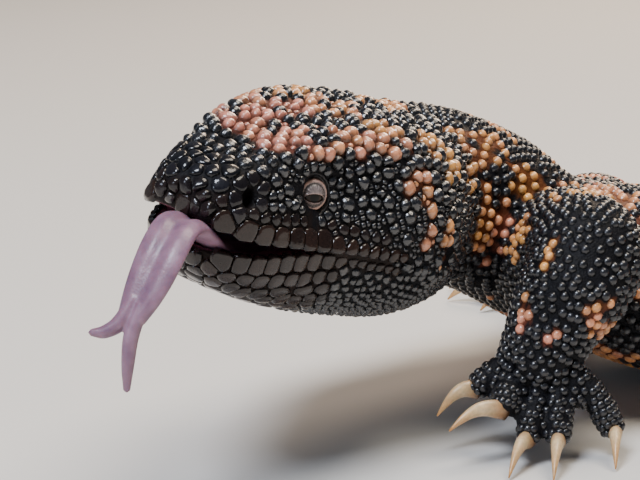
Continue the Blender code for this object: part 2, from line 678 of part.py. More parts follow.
def make_tongue(material):
    """A flat tongue with a groove along its top, and the two tines of its fork."""
    across = HEAD_AXES[:, 1]
    centres = [head_point(*p[:3]) for p in TONGUE_PATH]
    rings = []
    for i, (u, _, z, half_width) in enumerate(TONGUE_PATH):
        forward = unit(centres[min(i + 1, len(centres) - 1)] - centres[max(i - 1, 0)])
        normal = np.cross(forward, across)
        ring = []
        for k in range(KEYS_AROUND):
            angle = 2 * math.pi * k / KEYS_AROUND
            groove = TONGUE_GROOVE * math.exp(-((math.sin(angle) * half_width / 1.3) ** 2)) * (math.cos(angle) > 0)
            height = TONGUE_HALF_THICKNESS * math.cos(angle) - groove
            ring.append(centres[i] + across * half_width * math.sin(angle) + normal * height)
        rings.append(ring)
    loft = Loft(rings)
    tongue = new_object(
        "tongue", loft_mesh("tongue", loft, 0, loft.length, 13, 10, (0.5, 0.8)), ANIMAL, material
    )
    tines = []
    for points in TINES:
        stations = [(*head_point(*p[:3]), p[3]) for p in points]
        tine = Loft(limb_rings(stations))
        tines.append(loft_mesh("tine", tine, 0, tine.length, 5, 7, (0.2, 0.4)))
    boolean(tongue, tines, "UNION")
    keep_largest(tongue)
    for jaw in (bpy.data.objects["head"], bpy.data.objects["lower_jaw"]):
        bed = loft_mesh("tongue_clear", loft, 0, loft.length, 13, 10, (0.5 + GAP, 0.8 + GAP), grow=GAP)
        boolean(jaw, [bed], "DIFFERENCE")
        keep_largest(jaw)
    shade(tongue, 60)


def make_limbs(trunk, skin):
    """Each leg's upper and lower length, the upper one cut clear of the body's skin."""
    behind_tail_tip = trunk_lengths(trunk)[2:]
    alongs = [a for _, start, end, count in behind_tail_tip for a in np.linspace(start, end, count + 1)[:-1]]
    hull_rings = [trunk.circle(a, TRUNK_SIDES, LEG_GAP) for a in (*alongs, behind_tail_tip[-1][2])]
    for name, stations in LIMBS.items():
        limb = Loft(limb_rings(stations))
        elbow = limb.length * UPPER_SHARE
        upper = new_object(
            f"{name}_upper", loft_mesh(name, limb, 0, elbow - GAP / 2, 6, 14), ANIMAL, skin
        )
        boolean(upper, [mesh_of_rings("body_clear", hull_rings)], "DIFFERENCE")
        keep_largest(upper)
        lower = new_object(
            f"{name}_lower", loft_mesh(name, limb, elbow + GAP / 2, limb.length - GAP / 2, 6, 14), ANIMAL, skin
        )
        bend = loft_mesh("upper_clear", limb, elbow - BEND_REACH, elbow - GAP / 2, 4, 14, grow=GAP)
        boolean(lower, [bend, mesh_of_rings("body_clear", hull_rings)], "DIFFERENCE")
        keep_largest(lower)
        shade(upper)
        shade(lower)


def arched_rings(start, end, radii, arch, count, upward=(0, 0, 1)):
    """Rings along a bow from start to end, which rises by arch in the middle."""
    start, end = np.asarray(start, float), np.asarray(end, float)
    shares = np.linspace(0, 1, len(radii))
    path = [start + (end - start) * t + np.array(upward) * arch * math.sin(math.pi * t) for t in shares]
    return limb_rings([(*p, r) for p, r in zip(path, radii)], count)


def make_feet(skin, horn):
    """Palms with five arched digits joined to them, and each digit's claw on its own."""
    for name, (knuckles, half_width, digits) in FEET.items():
        stations = LIMBS[name]
        wrist = np.array(stations[-1][:3], float)
        radius = stations[-1][3]
        before = np.array(stations[-2][:3], float)
        centre = np.array(knuckles, float)
        first, last = np.array(digits[0][0], float), np.array(digits[-1][0], float)
        across = unit((last - first) * (1, 1, 0.35))
        shin = unit(wrist - before)
        ankle = wrist + shin * ANKLE_SHARE * radius
        toes = unit(centre - ankle)
        across_shin = unit(across - (across @ shin) * shin)
        stub = [
            flat_ring(wrist + shin * (GAP / 2 + along * radius), shin, across_shin, share * radius, share * radius)
            for along, share in ((0.0, 1.0), (0.4, 0.98), (0.8, 0.88), (1.1, 0.66))
        ]
        palm = Loft([
            flat_ring(ankle - toes * 0.3 * radius, toes, across, 0.55 * radius, 0.5 * radius),
            flat_ring(ankle, toes, across, 0.82 * radius, 0.74 * radius),
            flat_ring(0.5 * (ankle + centre), toes, across, 0.52 * (radius + half_width), 0.46 * (radius + PALM_THICKNESS)),
            flat_ring(centre, toes, across, half_width, PALM_THICKNESS),
            flat_ring(centre + toes * 3.2, toes, across, half_width * 0.9, PALM_THICKNESS * 0.72),
        ])
        foot_name = FOOT_NAMES[name]
        foot = new_object(foot_name, mesh_of_rings(foot_name, stub, 0.0, 1.0), ANIMAL, skin)
        toe_meshes = [loft_mesh("palm", palm, 0, palm.length, 5, 14, (0.8, 1.2))]
        for i, (tip, claw_tip) in enumerate(digits):
            root = centre + across * half_width * TOE_SPREAD * (i / 2 - 1) - toes * 1.8
            arch = DIGIT_ARCH * min(1.0, np.linalg.norm(np.subtract(tip, root)) / LONG_DIGIT)
            radii = np.array([1.05, 1.0, 1.0, 0.9]) * DIGIT_RADIUS
            toe_meshes.append(
                mesh_of_rings("toe", arched_rings(root, tip, radii, arch, 7), 0.3, TOE_END_BULGE)
            )
            claw_radii = np.array([1.08, 1.0, 0.78, 0.48, 0.15]) * CLAW_RADIUS
            claw = mesh_of_rings("claw", arched_rings(tip, claw_tip, claw_radii, CLAW_ARCH, 7), 0, 0.15)
            obj = new_object(f"claw_{foot_name}_{i + 1}", claw, ANIMAL, horn)
            clear = arched_rings(root, tip, radii + GAP, arch, 7)
            boolean(obj, [mesh_of_rings("toe_clear", clear, 0.3, TOE_END_BULGE + GAP)], "DIFFERENCE")
            keep_largest(obj)
            shade(obj, 60)
        boolean(foot, toe_meshes, "UNION")
        limb = Loft(limb_rings(stations))
        shank = [limb.circle(a, 14, GAP) for a in np.linspace(limb.length - BEND_REACH, limb.length, 4)]
        shank[-1] = shank[-1] + shin * GAP / 2
        boolean(foot, [mesh_of_rings("shank_clear", shank)], "DIFFERENCE")
        keep_largest(foot)
        cut_at_floor(foot)
        shade(foot, 50)


def stand_on_origin():
    """Moves the animal so that the middle of its footprint is at the origin."""
    bpy.context.view_layer.update()
    corners = np.array([
        obj.matrix_world @ v.co for obj in ANIMAL.objects for v in obj.data.vertices
    ])
    low, high = corners.min(axis=0), corners.max(axis=0)
    shift = Matrix.Translation((-(low[0] + high[0]) / 2, -(low[1] + high[1]) / 2, -low[2]))
    for obj in ANIMAL.objects:
        obj.data.transform(shift)


def main():
    clear_scene()
    skin = finish("black_beaded_skin", (0.022, 0.020, 0.022), 0.35)
    lip_skin = finish("brown_lip_plates", (0.070, 0.048, 0.034), 0.3)
    eye = finish("dark_eye", (0.018, 0.010, 0.007), 0.08)
    tongue = finish("lilac_tongue", (0.42, 0.24, 0.36), 0.3)
    horn = finish("pale_horn", (0.62, 0.42, 0.20), 0.35)
    trunk = trunk_loft()
    make_trunk(trunk, skin)
    make_head(trunk, skin, lip_skin)
    make_eyes(eye)
    make_tongue(tongue)
    make_limbs(trunk, skin)
    make_feet(skin, horn)
    stand_on_origin()


main()
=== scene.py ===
"""Looks of a life-size gila monster: one skin, beads and plates over it, eyes, lids, tongue, claws and a stage."""

import json
import math

import bmesh
import bpy
import numpy as np
from mathutils import Matrix, Vector
from mathutils.bvhtree import BVHTree
from mathutils.kdtree import KDTree

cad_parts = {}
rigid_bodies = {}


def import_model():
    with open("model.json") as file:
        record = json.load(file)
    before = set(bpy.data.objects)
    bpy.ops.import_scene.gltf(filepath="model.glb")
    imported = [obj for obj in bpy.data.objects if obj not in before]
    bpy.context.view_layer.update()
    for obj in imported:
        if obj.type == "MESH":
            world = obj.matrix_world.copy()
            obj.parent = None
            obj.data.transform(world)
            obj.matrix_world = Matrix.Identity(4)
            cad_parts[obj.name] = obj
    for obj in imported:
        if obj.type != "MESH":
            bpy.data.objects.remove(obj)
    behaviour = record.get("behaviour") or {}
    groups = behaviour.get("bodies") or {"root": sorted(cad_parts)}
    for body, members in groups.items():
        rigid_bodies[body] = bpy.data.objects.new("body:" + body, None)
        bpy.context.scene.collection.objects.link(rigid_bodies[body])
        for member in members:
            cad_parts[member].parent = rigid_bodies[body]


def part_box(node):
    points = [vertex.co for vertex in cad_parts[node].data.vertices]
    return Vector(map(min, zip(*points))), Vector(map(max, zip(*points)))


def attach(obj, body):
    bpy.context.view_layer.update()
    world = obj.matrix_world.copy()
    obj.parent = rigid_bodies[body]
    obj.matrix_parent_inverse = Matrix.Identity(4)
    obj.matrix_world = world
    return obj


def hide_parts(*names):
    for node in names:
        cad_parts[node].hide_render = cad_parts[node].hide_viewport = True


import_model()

bl_info = {
    "name": "Gila Monster Looks",
    "version": (1, 0, 0),
    "blender": (4, 5, 0),
    "location": "View3D > Sidebar > Gila",
    "description": "Skin, beads, plates, eyes, tongue and claws of a life-size gila monster",
    "category": "Object",
}

MM = 0.001

# The head's own frame: u runs back from the snout tip, left is the animal's left, z is up from the closed mouth.
SNOUT_TIP = (-137.7, -65.5, 45.2)
HEAD_YAW, HEAD_PITCH, HEAD_ROLL = 52.0, 7.7, 14.4
JAW_OPEN_DEG = 5.5
JAW_HINGE_U, JAW_HINGE_Z = 35.0, -2.6
CHIN_SET_BACK = 3.0
MOUTH_OPEN_U, MOUTH_CORNER_U = 22.0, 33.5
EYE_AT, EYE_RADIUS = (19.4, 8.7, 5.65), 2.6
NOSTRIL_AT, NOSTRIL_RADII = (5.5, 7.8, 5.0), (1.0, 3.2, 1.7)
EAR_AT = (46.5, 20.8, -1.2)

# Half sections of the head: u, then (out, z) of top, brow, temple, upper lip, lower lip, jaw side, jaw edge, throat.
HEAD_SECTIONS = (
    (58.0, (0, 16.0), (11.3, 13.6), (17.5, 4.8), (18.0, -2.7), (17.5, -5.8), (15.6, -10.2), (9.4, -14.4), (0, -15.1)),
    (50.0, (0, 16.3), (12.4, 14.4), (19.8, 4.6), (20.4, -3.6), (19.6, -6.0), (17.3, -10.4), (10.6, -15.0), (0, -15.7)),
    (43.0, (0, 16.1), (13.1, 14.6), (20.5, 5.0), (21.3, -3.3), (20.5, -5.6), (18.4, -10.0), (11.1, -14.9), (0, -15.5)),
    (35.0, (0, 15.7), (11.9, 14.8), (18.6, 5.9), (19.8, -2.0), (19.0, -3.3), (17.3, -9.1), (10.6, -14.3), (0, -15.0)),
    (27.0, (0, 14.4), (10.4, 14.2), (14.2, 6.8), (17.1, -1.3), (16.3, -1.9), (14.8, -8.0), (9.0, -13.1), (0, -13.8)),
    (20.0, (0, 13.0), (9.3, 13.0), (10.6, 7.0), (14.6, -1.1), (13.8, -0.9), (12.5, -6.9), (7.7, -11.4), (0, -12.1)),
    (14.0, (0, 11.5), (7.8, 11.3), (9.9, 6.5), (12.9, -0.9), (12.1, -1.0), (10.8, -5.8), (6.7, -9.8), (0, -10.4)),
    (9.0, (0, 9.9), (6.3, 9.6), (9.4, 5.5), (11.0, -1.0), (10.3, -1.4), (9.1, -4.7), (5.6, -8.0), (0, -8.7)),
    (5.0, (0, 8.7), (5.2, 8.1), (8.0, 4.7), (9.0, -0.7), (8.3, -1.1), (7.3, -3.6), (4.4, -6.0), (0, -6.7)),
    (2.0, (0, 7.1), (3.8, 6.5), (6.0, 3.9), (6.7, 0.2), (6.0, -1.0), (5.0, -2.4), (2.9, -4.0), (0, -4.4)),
    (0.3, (0, 4.8), (2.2, 4.5), (3.7, 2.8), (4.0, 0.8), (3.3, -0.8), (2.5, -1.6), (1.4, -2.2), (0, -2.4)),
)

# Stations of the body from the tail tip to the neck: centre x, y, z, half width, height above, depth below.
BODY_STATIONS = (
    (247.0, 47.0, 4.4, 2.6, 2.6, 2.8),
    (243.0, 43.5, 6.4, 6.4, 6.2, 6.4),
    (233.0, 35.5, 9.4, 10.2, 9.6, 9.6),
    (212.0, 21.0, 12.6, 13.6, 12.8, 12.8),
    (186.0, 8.5, 14.8, 15.8, 14.8, 15.0),
    (160.0, 1.5, 16.2, 16.8, 15.8, 16.0),
    (138.0, -0.5, 17.4, 17.0, 16.2, 16.4),
    (118.0, 0.0, 18.6, 19.0, 17.0, 17.4),
    (98.0, 0.0, 19.0, 23.8, 18.0, 18.6),
    (70.0, 0.0, 18.8, 29.0, 18.6, 19.0),
    (38.0, 0.0, 18.2, 32.2, 18.4, 18.6),
    (4.0, 0.0, 18.0, 33.0, 17.8, 18.4),
    (-26.0, 0.0, 17.8, 31.0, 16.4, 17.8),
    (-50.0, 0.0, 18.8, 27.2, 15.4, 15.6),
    (-68.0, -0.4, 23.4, 23.4, 14.0, 13.4),
    (-82.5, -4.0, 31.2, 19.8, 15.7, 13.0),
    (-93.5, -11.2, 36.0, 18.2, 15.8, 13.6),
)
SECTION_ANGLES = (0, 30, 60, 88, 102, 124, 152, 180)
BACK_ROUNDNESS, BELLY_ROUNDNESS = 2.1, 2.5
VENT_ALONG = 142.0

# Limbs: stations from inside the body to the wrist or ankle (x, y, z, radius).
LIMBS = {
    "foreleg_left": (
        (-74, -8, 24, 9.6), (-72.5, -18.5, 27.4, 10.4), (-70.8, -28, 29.8, 10.4), (-70.6, -34.6, 30, 9.7),
        (-73.4, -37.4, 25.6, 8.8), (-76.2, -37.8, 21.4, 7.8), (-77.9, -38.4, 17.6, 7.0),
    ),
    "foreleg_right": (
        (-61, 8, 20, 10.5), (-56.4, 21, 21, 11.0), (-51.2, 33, 21, 10.2), (-47.4, 41.6, 19, 9.2),
        (-46.6, 46.6, 15.4, 8.2), (-47.8, 50.2, 12, 7.2), (-49.8, 52.8, 9.6, 6.6),
    ),
    "hindleg_left": (
        (103, -6, 20, 12.0), (95, -23, 20.6, 12.8), (85, -37, 21, 12.0), (80.5, -46, 19.6, 10.6),
        (86, -51.5, 16.0, 9.2), (93.5, -55.5, 12.4, 7.8), (99, -59.5, 9.6, 6.8),
    ),
    "hindleg_right": (
        (105, 6, 20, 12.0), (99, 23, 20.6, 12.8), (92, 37, 21, 12.0), (90, 46.5, 19.4, 10.6),
        (97, 51.5, 15.8, 9.2), (105, 55.0, 12.4, 7.8), (111, 58.5, 9.6, 6.8),
    ),
}

# Feet: the knuckle line's centre, its half width, then each digit's tip and its claw's tip, thumb first.
FEET = {
    "foreleg_left": (
        (-79.3, -40.6, 11.0), 8.2,
        (((-88.9, -38.2, 10.0), (-95.4, -40.0, 6.8)),
         ((-86.0, -44.6, 8.4), (-95.0, -47.6, 6.6)),
         ((-82.2, -45.8, 3.9), (-86.8, -53.0, 0.5)),
         ((-77.6, -46.8, 3.9), (-80.4, -55.2, 0.5)),
         ((-67.8, -43.8, 3.8), (-69.6, -51.0, 0.5))),
    ),
    "foreleg_right": (
        (-55.2, 58.6, 5.4), 8.4,
        (((-62.8, 52.6, 2.7), (-68.8, 51.6, 0.5)),
         ((-66.8, 59.2, 2.6), (-73.4, 61.8, 0.5)),
         ((-65.6, 66.0, 2.6), (-71.2, 71.4, 0.5)),
         ((-60.0, 71.0, 2.6), (-63.2, 78.2, 0.5)),
         ((-51.0, 70.6, 2.7), (-50.2, 78.2, 0.5))),
    ),
    "hindleg_left": (
        (95.0, -68.4, 5.4), 9.2,
        (((83.8, -64.4, 2.7), (77.2, -64.4, 0.7)),
         ((82.6, -72.6, 2.7), (76.0, -76.6, 0.5)),
         ((86.2, -79.4, 2.7), (81.8, -85.6, 0.5)),
         ((92.6, -82.8, 2.7), (91.0, -90.2, 0.5)),
         ((102.4, -79.6, 2.7), (104.6, -86.4, 0.7))),
    ),
    "hindleg_right": (
        (109.4, 67.6, 5.4), 9.2,
        (((97.8, 65.6, 2.7), (91.2, 66.6, 0.7)),
         ((97.6, 73.6, 2.7), (91.4, 78.2, 0.5)),
         ((102.0, 79.6, 2.7), (98.2, 86.2, 0.5)),
         ((108.6, 82.4, 2.7), (107.6, 89.8, 0.5)),
         ((118.2, 78.4, 2.7), (120.8, 85.0, 0.7))),
    ),
}
FOOT_NAMES = {
    "foreleg_left": "forefoot_left",
    "foreleg_right": "forefoot_right",
    "hindleg_left": "hindfoot_left",
    "hindleg_right": "hindfoot_right",
}
DIGIT_RADIUS, DIGIT_ARCH = 2.75, 1.7
TOE_SPREAD, LONG_DIGIT = 0.74, 13.0
CLAW_RADIUS, CLAW_ARCH = 1.35, 1.6
PALM_THICKNESS = 4.4
ANKLE_SHARE = 0.5

# The tongue's centreline in the head's frame: u, left, z, half width. Then each tine of its fork, with radii.
TONGUE_PATH = (
    (25.0, 0.0, -5.3, 2.8), (20.0, 0.3, -5.5, 3.5), (14.0, 0.9, -5.2, 3.7), (8.0, 1.7, -4.0, 3.6),
    (3.0, 2.3, -1.7, 3.5), (-1.2, 2.7, -0.2, 3.5), (-4.5, 3.4, -0.8, 3.6), (-7.1, 4.1, -3.3, 3.7),
    (-8.9, 4.5, -6.8, 3.5), (-10.2, 4.7, -9.8, 3.0), (-11.1, 4.6, -12.8, 2.2),
)
TONGUE_HALF_THICKNESS, TONGUE_GROOVE_SHOWN = 1.15, 0.6
TINES = (
    ((-10.5, 5.3, -10.6, 1.0), (-11.5, 5.6, -15.0, 1.1), (-11.8, 6.5, -18.8, 0.9), (-11.6, 7.3, -22.2, 0.5)),
    ((-10.4, 3.9, -10.2, 1.0), (-11.8, 3.4, -14.0, 1.15), (-13.0, 2.1, -15.7, 0.9), (-13.8, 0.7, -16.2, 0.5)),
)

# Pale patches of the head and neck in the head's frame: centre u, left, z, radii along u, across and up, and how
# orange they are, from 0 for pink to 1 for yellow-orange.
PALE_PATCHES = (
    ((26, -6, 14.4), (9.0, 5.6, 3.0), 0.0), ((15.6, -3.7, 12.2), (1.9, 1.8, 2.0), 0.0),
    ((18.0, 2.0, 12.6), (6.4, 4.4, 2.6), 0.05), ((19.6, 9.4, 12.4), (2.6, 1.8, 2.2), 0.1),
    ((26.5, 8.6, 14.4), (4.0, 2.2, 2.6), 0.3), ((31.0, 11.8, 13.6), (5.4, 2.4, 2.2), 0.25),
    ((35.2, 8.6, 15.6), (4.6, 2.8, 2.2), 0.75), ((37.0, -1.0, 16.0), (6.0, 4.0, 2.4), 0.5),
    ((55.0, -2.0, 16.2), (5.6, 4.6, 3.0), 0.6), ((47.8, 14.0, 13.0), (4.2, 3.6, 3.2), 0.9),
    ((59.4, 15.4, 9.6), (2.4, 2.2, 2.4), 0.8), ((36.1, 17.0, 9.3), (1.5, 1.5, 1.5), 0.4),
    ((39.2, 18.9, 7.3), (1.9, 1.8, 2.0), 0.5), ((39.9, 21.5, 2.2), (1.3, 1.6, 2.0), 0.3),
    ((45.0, 20.9, 2.9), (1.6, 1.8, 4.6), 0.6), ((64.2, 17.9, 2.4), (1.9, 2.4, 5.8), 0.75),
    ((73.5, 18.7, 9.4), (3.8, 3.6, 5.2), 0.9), ((67.4, 18.8, 0.2), (1.8, 2.2, 6.4), 0.25),
    ((63.0, 10.6, 14.2), (3.4, 4.4, 3.2), 0.7), ((69.4, 13.6, 13.2), (2.6, 3.6, 3.2), 0.8),
)
# Folds of the neck's skin on both sides, as lines in the head's frame, with half width and depth.
NECK_FOLDS = (
    (((61.0, 18.2, 7.0), (61.6, 19.4, 0.0), (62.6, 17.6, -8.0)), 1.0, 0.5),
    (((66.0, 18.4, 9.0), (66.6, 19.0, 0.5), (68.0, 17.4, -8.0)), 1.1, 0.7),
    (((70.0, 18.0, 8.0), (70.6, 18.4, 0.0), (72.0, 16.6, -8.0)), 1.0, 0.6),
)

# Creases that part the digits over the back of each foot.
CREASE_DEPTH, CREASE_HALF_WIDTH, CREASE_LENGTH, CREASE_REACH = 0.8, 0.7, 4.5, 16.0

CAMERA_AT = (-159.44, -364.35, 105.05)
CAMERA_TURN, CAMERA_TILT = 8.0, 12.0
CAMERA_LENS, CAMERA_SENSOR = 123.75, 36.0

FLESH = (
    "tail_tip", "tail_middle", "tail_base", "torso_rear", "torso_front", "neck", "head", "lower_jaw",
    "foreleg_left_upper", "foreleg_left_lower", "foreleg_right_upper", "foreleg_right_lower",
    "hindleg_left_upper", "hindleg_left_lower", "hindleg_right_upper", "hindleg_right_lower",
    "forefoot_left", "forefoot_right", "hindfoot_left", "hindfoot_right",
)


# Vectors and frames


def unit(vector):
    vector = np.asarray(vector, float)
    return vector / np.maximum(np.linalg.norm(vector, axis=-1, keepdims=True), 1e-9)


def smoothstep(low, high, x):
    t = np.clip((np.asarray(x, float) - low) / (high - low), 0.0, 1.0)
    return t * t * (3 - 2 * t)


def head_matrix():
    """Columns back, left and up of the head, and the snout tip's place, in millimetres."""
    yaw, pitch, roll = map(math.radians, (HEAD_YAW, HEAD_PITCH, HEAD_ROLL))
    forward = np.array([-math.cos(yaw) * math.cos(pitch), -math.sin(yaw) * math.cos(pitch), math.sin(pitch)])
    level_left = unit(np.cross((0, 0, 1), forward))
    level_up = np.cross(forward, level_left)
    left = math.cos(roll) * level_left - math.sin(roll) * level_up
    up = np.cross(forward, left)
    return np.array([-forward, left, up]).T, np.array(SNOUT_TIP)


HEAD_AXES, HEAD_ORIGIN = head_matrix()


def head_point(u, left, z):
    return HEAD_AXES @ np.array([u, left, z], float) + HEAD_ORIGIN


def in_head(points):
    """Points of the animal in the head's frame."""
    return (points - HEAD_ORIGIN) @ HEAD_AXES


def placed():
    """From the tables' place to the frame's, in millimetres: the eye's centre tells it."""
    low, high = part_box("eye_left")
    centre = (np.array(low) + np.array(high)) / 2 / MM
    return centre - head_point(*EYE_AT)


SHIFT = placed()


class Loft:
    """A smooth form through rings of key points, each ring a station along it."""

    def __init__(self, rings):
        self.rings = np.array(rings, float)
        steps = np.linalg.norm(np.diff(self.rings.mean(axis=1), axis=0), axis=1)
        self.knots = np.concatenate([[0.0], np.cumsum(steps)])
        self.length = self.knots[-1]

    def ring(self, along):
        """The key points at a distance along, by a cubic through the stations."""
        knots, rings = self.knots, self.rings
        i = int(np.clip(np.searchsorted(knots, along) - 1, 0, len(knots) - 2))
        span = knots[i + 1] - knots[i]
        t = (along - knots[i]) / span

        def slope(k):
            before, after = max(k - 1, 0), min(k + 1, len(knots) - 1)
            return (rings[after] - rings[before]) / (knots[after] - knots[before])

        return (
            (2 * t**3 - 3 * t**2 + 1) * rings[i]
            + (t**3 - 2 * t**2 + t) * span * slope(i)
            + (3 * t**2 - 2 * t**3) * rings[i + 1]
            + (t**3 - t**2) * span * slope(i + 1)
        )

    def circle(self, along, count, grow=0.0):
        """Points around the form at a distance along, pushed out by grow."""
        keys = self.ring(along)
        k = len(keys)
        at = np.arange(count) * k / count
        i = at.astype(int)
        t = (at - i)[:, None]
        a, b, c, d = keys[(i - 1) % k], keys[i], keys[(i + 1) % k], keys[(i + 2) % k]
        points = 0.5 * (
            2 * b + (c - a) * t + (2 * a - 5 * b + 4 * c - d) * t**2 + (3 * b - a - 3 * c + d) * t**3
        )
        if grow:
            points = points + grow * unit(points - points.mean(axis=0))
        return points


# The forms that the solids have, from the same named sizes


def jaw_turn(u, z):
    """Where a point of the closed lower jaw goes as the jaw opens, fading out behind the mouth's corner."""
    angle = math.radians(JAW_OPEN_DEG) * (1 - smoothstep(MOUTH_CORNER_U - 3, MOUTH_CORNER_U + 13, u))
    du, dz = u - JAW_HINGE_U, z - JAW_HINGE_Z
    return (
        JAW_HINGE_U + du * np.cos(angle) - dz * np.sin(angle),
        JAW_HINGE_Z + dz * np.cos(angle) + du * np.sin(angle),
    )


def head_ring(section):
    u, keys = section[0], section[1:]
    half = []
    for k, (out, z) in enumerate(keys):
        if k < 4:
            half.append((u, out, z))
        else:
            jaw_u, jaw_z = jaw_turn(u + CHIN_SET_BACK * math.exp(-u / 6), z)
            half.append((jaw_u, out, jaw_z))
    other = [(u_, -out, z) for u_, out, z in half[-2:0:-1]]
    return [head_point(*p) for p in half + other]


def body_ring(centre, forward, width, above, below):
    """A rounded section, a little flatter under the belly than over the back."""
    left = unit(np.cross((0, 0, 1), forward))
    up = np.cross(forward, left)
    half = []
    for degrees in SECTION_ANGLES:
        angle = math.radians(degrees)
        power = 2 / (BACK_ROUNDNESS if degrees <= 90 else BELLY_ROUNDNESS)
        height = above if degrees <= 90 else below
        out = width * abs(math.sin(angle)) ** power
        half.append((out, math.copysign(height * abs(math.cos(angle)) ** power, math.cos(angle))))
    other = [(-out, z) for out, z in half[-2:0:-1]]
    return [np.asarray(centre) + left * out + up * z for out, z in half + other]


def trunk_loft():
    """The one long form from the tail tip to the snout."""
    centres = [np.array(s[:3], float) for s in BODY_STATIONS]
    path = centres + [head_point(HEAD_SECTIONS[0][0], 0, 0)]
    rings = []
    for i, station in enumerate(BODY_STATIONS):
        forward = unit(path[i + 1] - path[max(i - 1, 0)])
        rings.append(body_ring(centres[i], forward, *station[3:]))
    return Loft(rings + [head_ring(s) for s in HEAD_SECTIONS])


def limb_rings(stations, count=14):
    """Round rings along a bent limb, each turned as little as possible from the one before."""
    centres = np.array([s[:3] for s in stations], float)
    side = np.array([0.0, 0.0, 1.0])
    rings = []
    for i, station in enumerate(stations):
        forward = unit(centres[min(i + 1, len(centres) - 1)] - centres[max(i - 1, 0)])
        side = unit(side - (side @ forward) * forward)
        other = np.cross(forward, side)
        angles = np.arange(count) * 2 * math.pi / count
        rings.append([centres[i] + station[3] * (math.cos(a) * side + math.sin(a) * other) for a in angles])
    return rings


def flat_ring(centre, forward, across, half_width, half_height, count=14):
    """An oval ring whose long axis lies along across."""
    across = unit(across - (across @ forward) * forward)
    normal = np.cross(forward, across)
    angles = np.arange(count) * 2 * math.pi / count
    return [centre + half_width * math.cos(a) * across + half_height * math.sin(a) * normal for a in angles]


def arched_stations(start, end, radii, arch):
    """Places and radii along a bow from start to end, which rises by arch in the middle."""
    start, end = np.asarray(start, float), np.asarray(end, float)
    shares = np.linspace(0, 1, len(radii))
    path = [start + (end - start) * t + np.array((0, 0, arch * math.sin(math.pi * t))) for t in shares]
    return [(*p, r) for p, r in zip(path, radii)]


def foot_lofts(name, inward):
    """The ankle, the palm and the five digits of a foot, each as a form, drawn in by inward."""
    knuckles, half_width, digits = FEET[name]
    stations = LIMBS[name]
    wrist, before = np.array(stations[-1][:3], float), np.array(stations[-2][:3], float)
    radius = stations[-1][3] - inward
    centre = np.array(knuckles, float)
    first, last = np.array(digits[0][0], float), np.array(digits[-1][0], float)
    across = unit((last - first) * (1, 1, 0.35))
    shin = unit(wrist - before)
    ankle = wrist + shin * ANKLE_SHARE * radius
    toes = unit(centre - ankle)
    across_shin = unit(across - (across @ shin) * shin)
    thick = PALM_THICKNESS - inward
    wide = half_width - inward
    stub = Loft([
        flat_ring(wrist + shin * along * radius, shin, across_shin, share * radius, share * radius)
        for along, share in ((-0.8, 1.0), (0.0, 1.0), (0.4, 0.98), (0.8, 0.88), (1.1, 0.66))
    ])
    palm = Loft([
        flat_ring(ankle - toes * 0.3 * radius, toes, across, 0.55 * radius, 0.5 * radius),
        flat_ring(ankle, toes, across, 0.82 * radius, 0.74 * radius),
        flat_ring(0.5 * (ankle + centre), toes, across, 0.52 * (radius + wide), 0.46 * (radius + thick)),
        flat_ring(centre, toes, across, wide, thick),
        flat_ring(centre + toes * 3.2, toes, across, wide * 0.9, thick * 0.72),
    ])
    digit_lofts = []
    for i, (tip, _) in enumerate(digits):
        root = centre + across * half_width * TOE_SPREAD * (i / 2 - 1) - toes * 1.8
        arch = DIGIT_ARCH * min(1.0, np.linalg.norm(np.subtract(tip, root)) / LONG_DIGIT)
        swell = np.array([1.05, 0.97, 1.05, 0.95, 1.04, 0.96, 0.86])
        radii = swell * DIGIT_RADIUS - inward
        digit_lofts.append(Loft(limb_rings(arched_stations(root, tip, radii, arch))))
    return stub, palm, digit_lofts


# Meshes and objects


def new_object(name, mesh, material=None):
    obj = bpy.data.objects.new(name, mesh)
    bpy.context.scene.collection.objects.link(obj)
    if material:
        mesh.materials.clear()
        mesh.materials.append(material)
    return obj


def ring_mesh(name, rings, start_bulge=0.0, end_bulge=0.0):
    """A closed mesh through rings of points in millimetres, each end closed by a fan to its middle."""
    rings = np.asarray(rings, float)
    rows, count = rings.shape[:2]
    verts = rings.reshape(-1, 3)
    ends = []
    for row, inner, bulge in ((0, 1, start_bulge), (-1, -2, end_bulge)):
        middle = rings[row].mean(axis=0)
        ends.append(middle + bulge * unit(middle - rings[inner].mean(axis=0)))
    verts = (np.concatenate([verts, ends]) + SHIFT) * MM
    faces = [
        (r * count + i, r * count + (i + 1) % count, (r + 1) * count + (i + 1) % count, (r + 1) * count + i)
        for r in range(rows - 1)
        for i in range(count)
    ]
    top, last = rows * count, (rows - 1) * count
    faces += [((i + 1) % count, i, top) for i in range(count)]
    faces += [(last + i, last + (i + 1) % count, top + 1) for i in range(count)]
    mesh = bpy.data.meshes.new(name)
    mesh.from_pydata(verts.tolist(), [], faces)
    return faces_out(mesh)


def loft_mesh(name, loft, start, end, step, count, grow=0.0, bulges=(0.4, 0.4)):
    alongs = np.linspace(start, end, max(3, int((end - start) / step)))
    return ring_mesh(name, [loft.circle(a, count, grow) for a in alongs], *bulges)


def faces_out(mesh):
    bm = bmesh.new()
    bm.from_mesh(mesh)
    bmesh.ops.recalc_face_normals(bm, faces=bm.faces)
    bm.to_mesh(mesh)
    bm.free()
    return mesh


def ball_mesh(name, centre, axes, radii, segments=32, rings=20):
    """A closed ellipsoid in millimetres, its radii along the three given axes."""
    bm = bmesh.new()
    bmesh.ops.create_uvsphere(bm, u_segments=segments, v_segments=rings, radius=1.0)
    turn = Matrix([[axes[c][r] * radii[c] * MM for c in range(3)] for r in range(3)]).to_4x4()
    turn.translation = Vector((np.asarray(centre) + SHIFT) * MM)
    bmesh.ops.transform(bm, matrix=turn, verts=bm.verts)
    mesh = bpy.data.meshes.new(name)
    bm.to_mesh(mesh)
    bm.free()
    return faces_out(mesh)


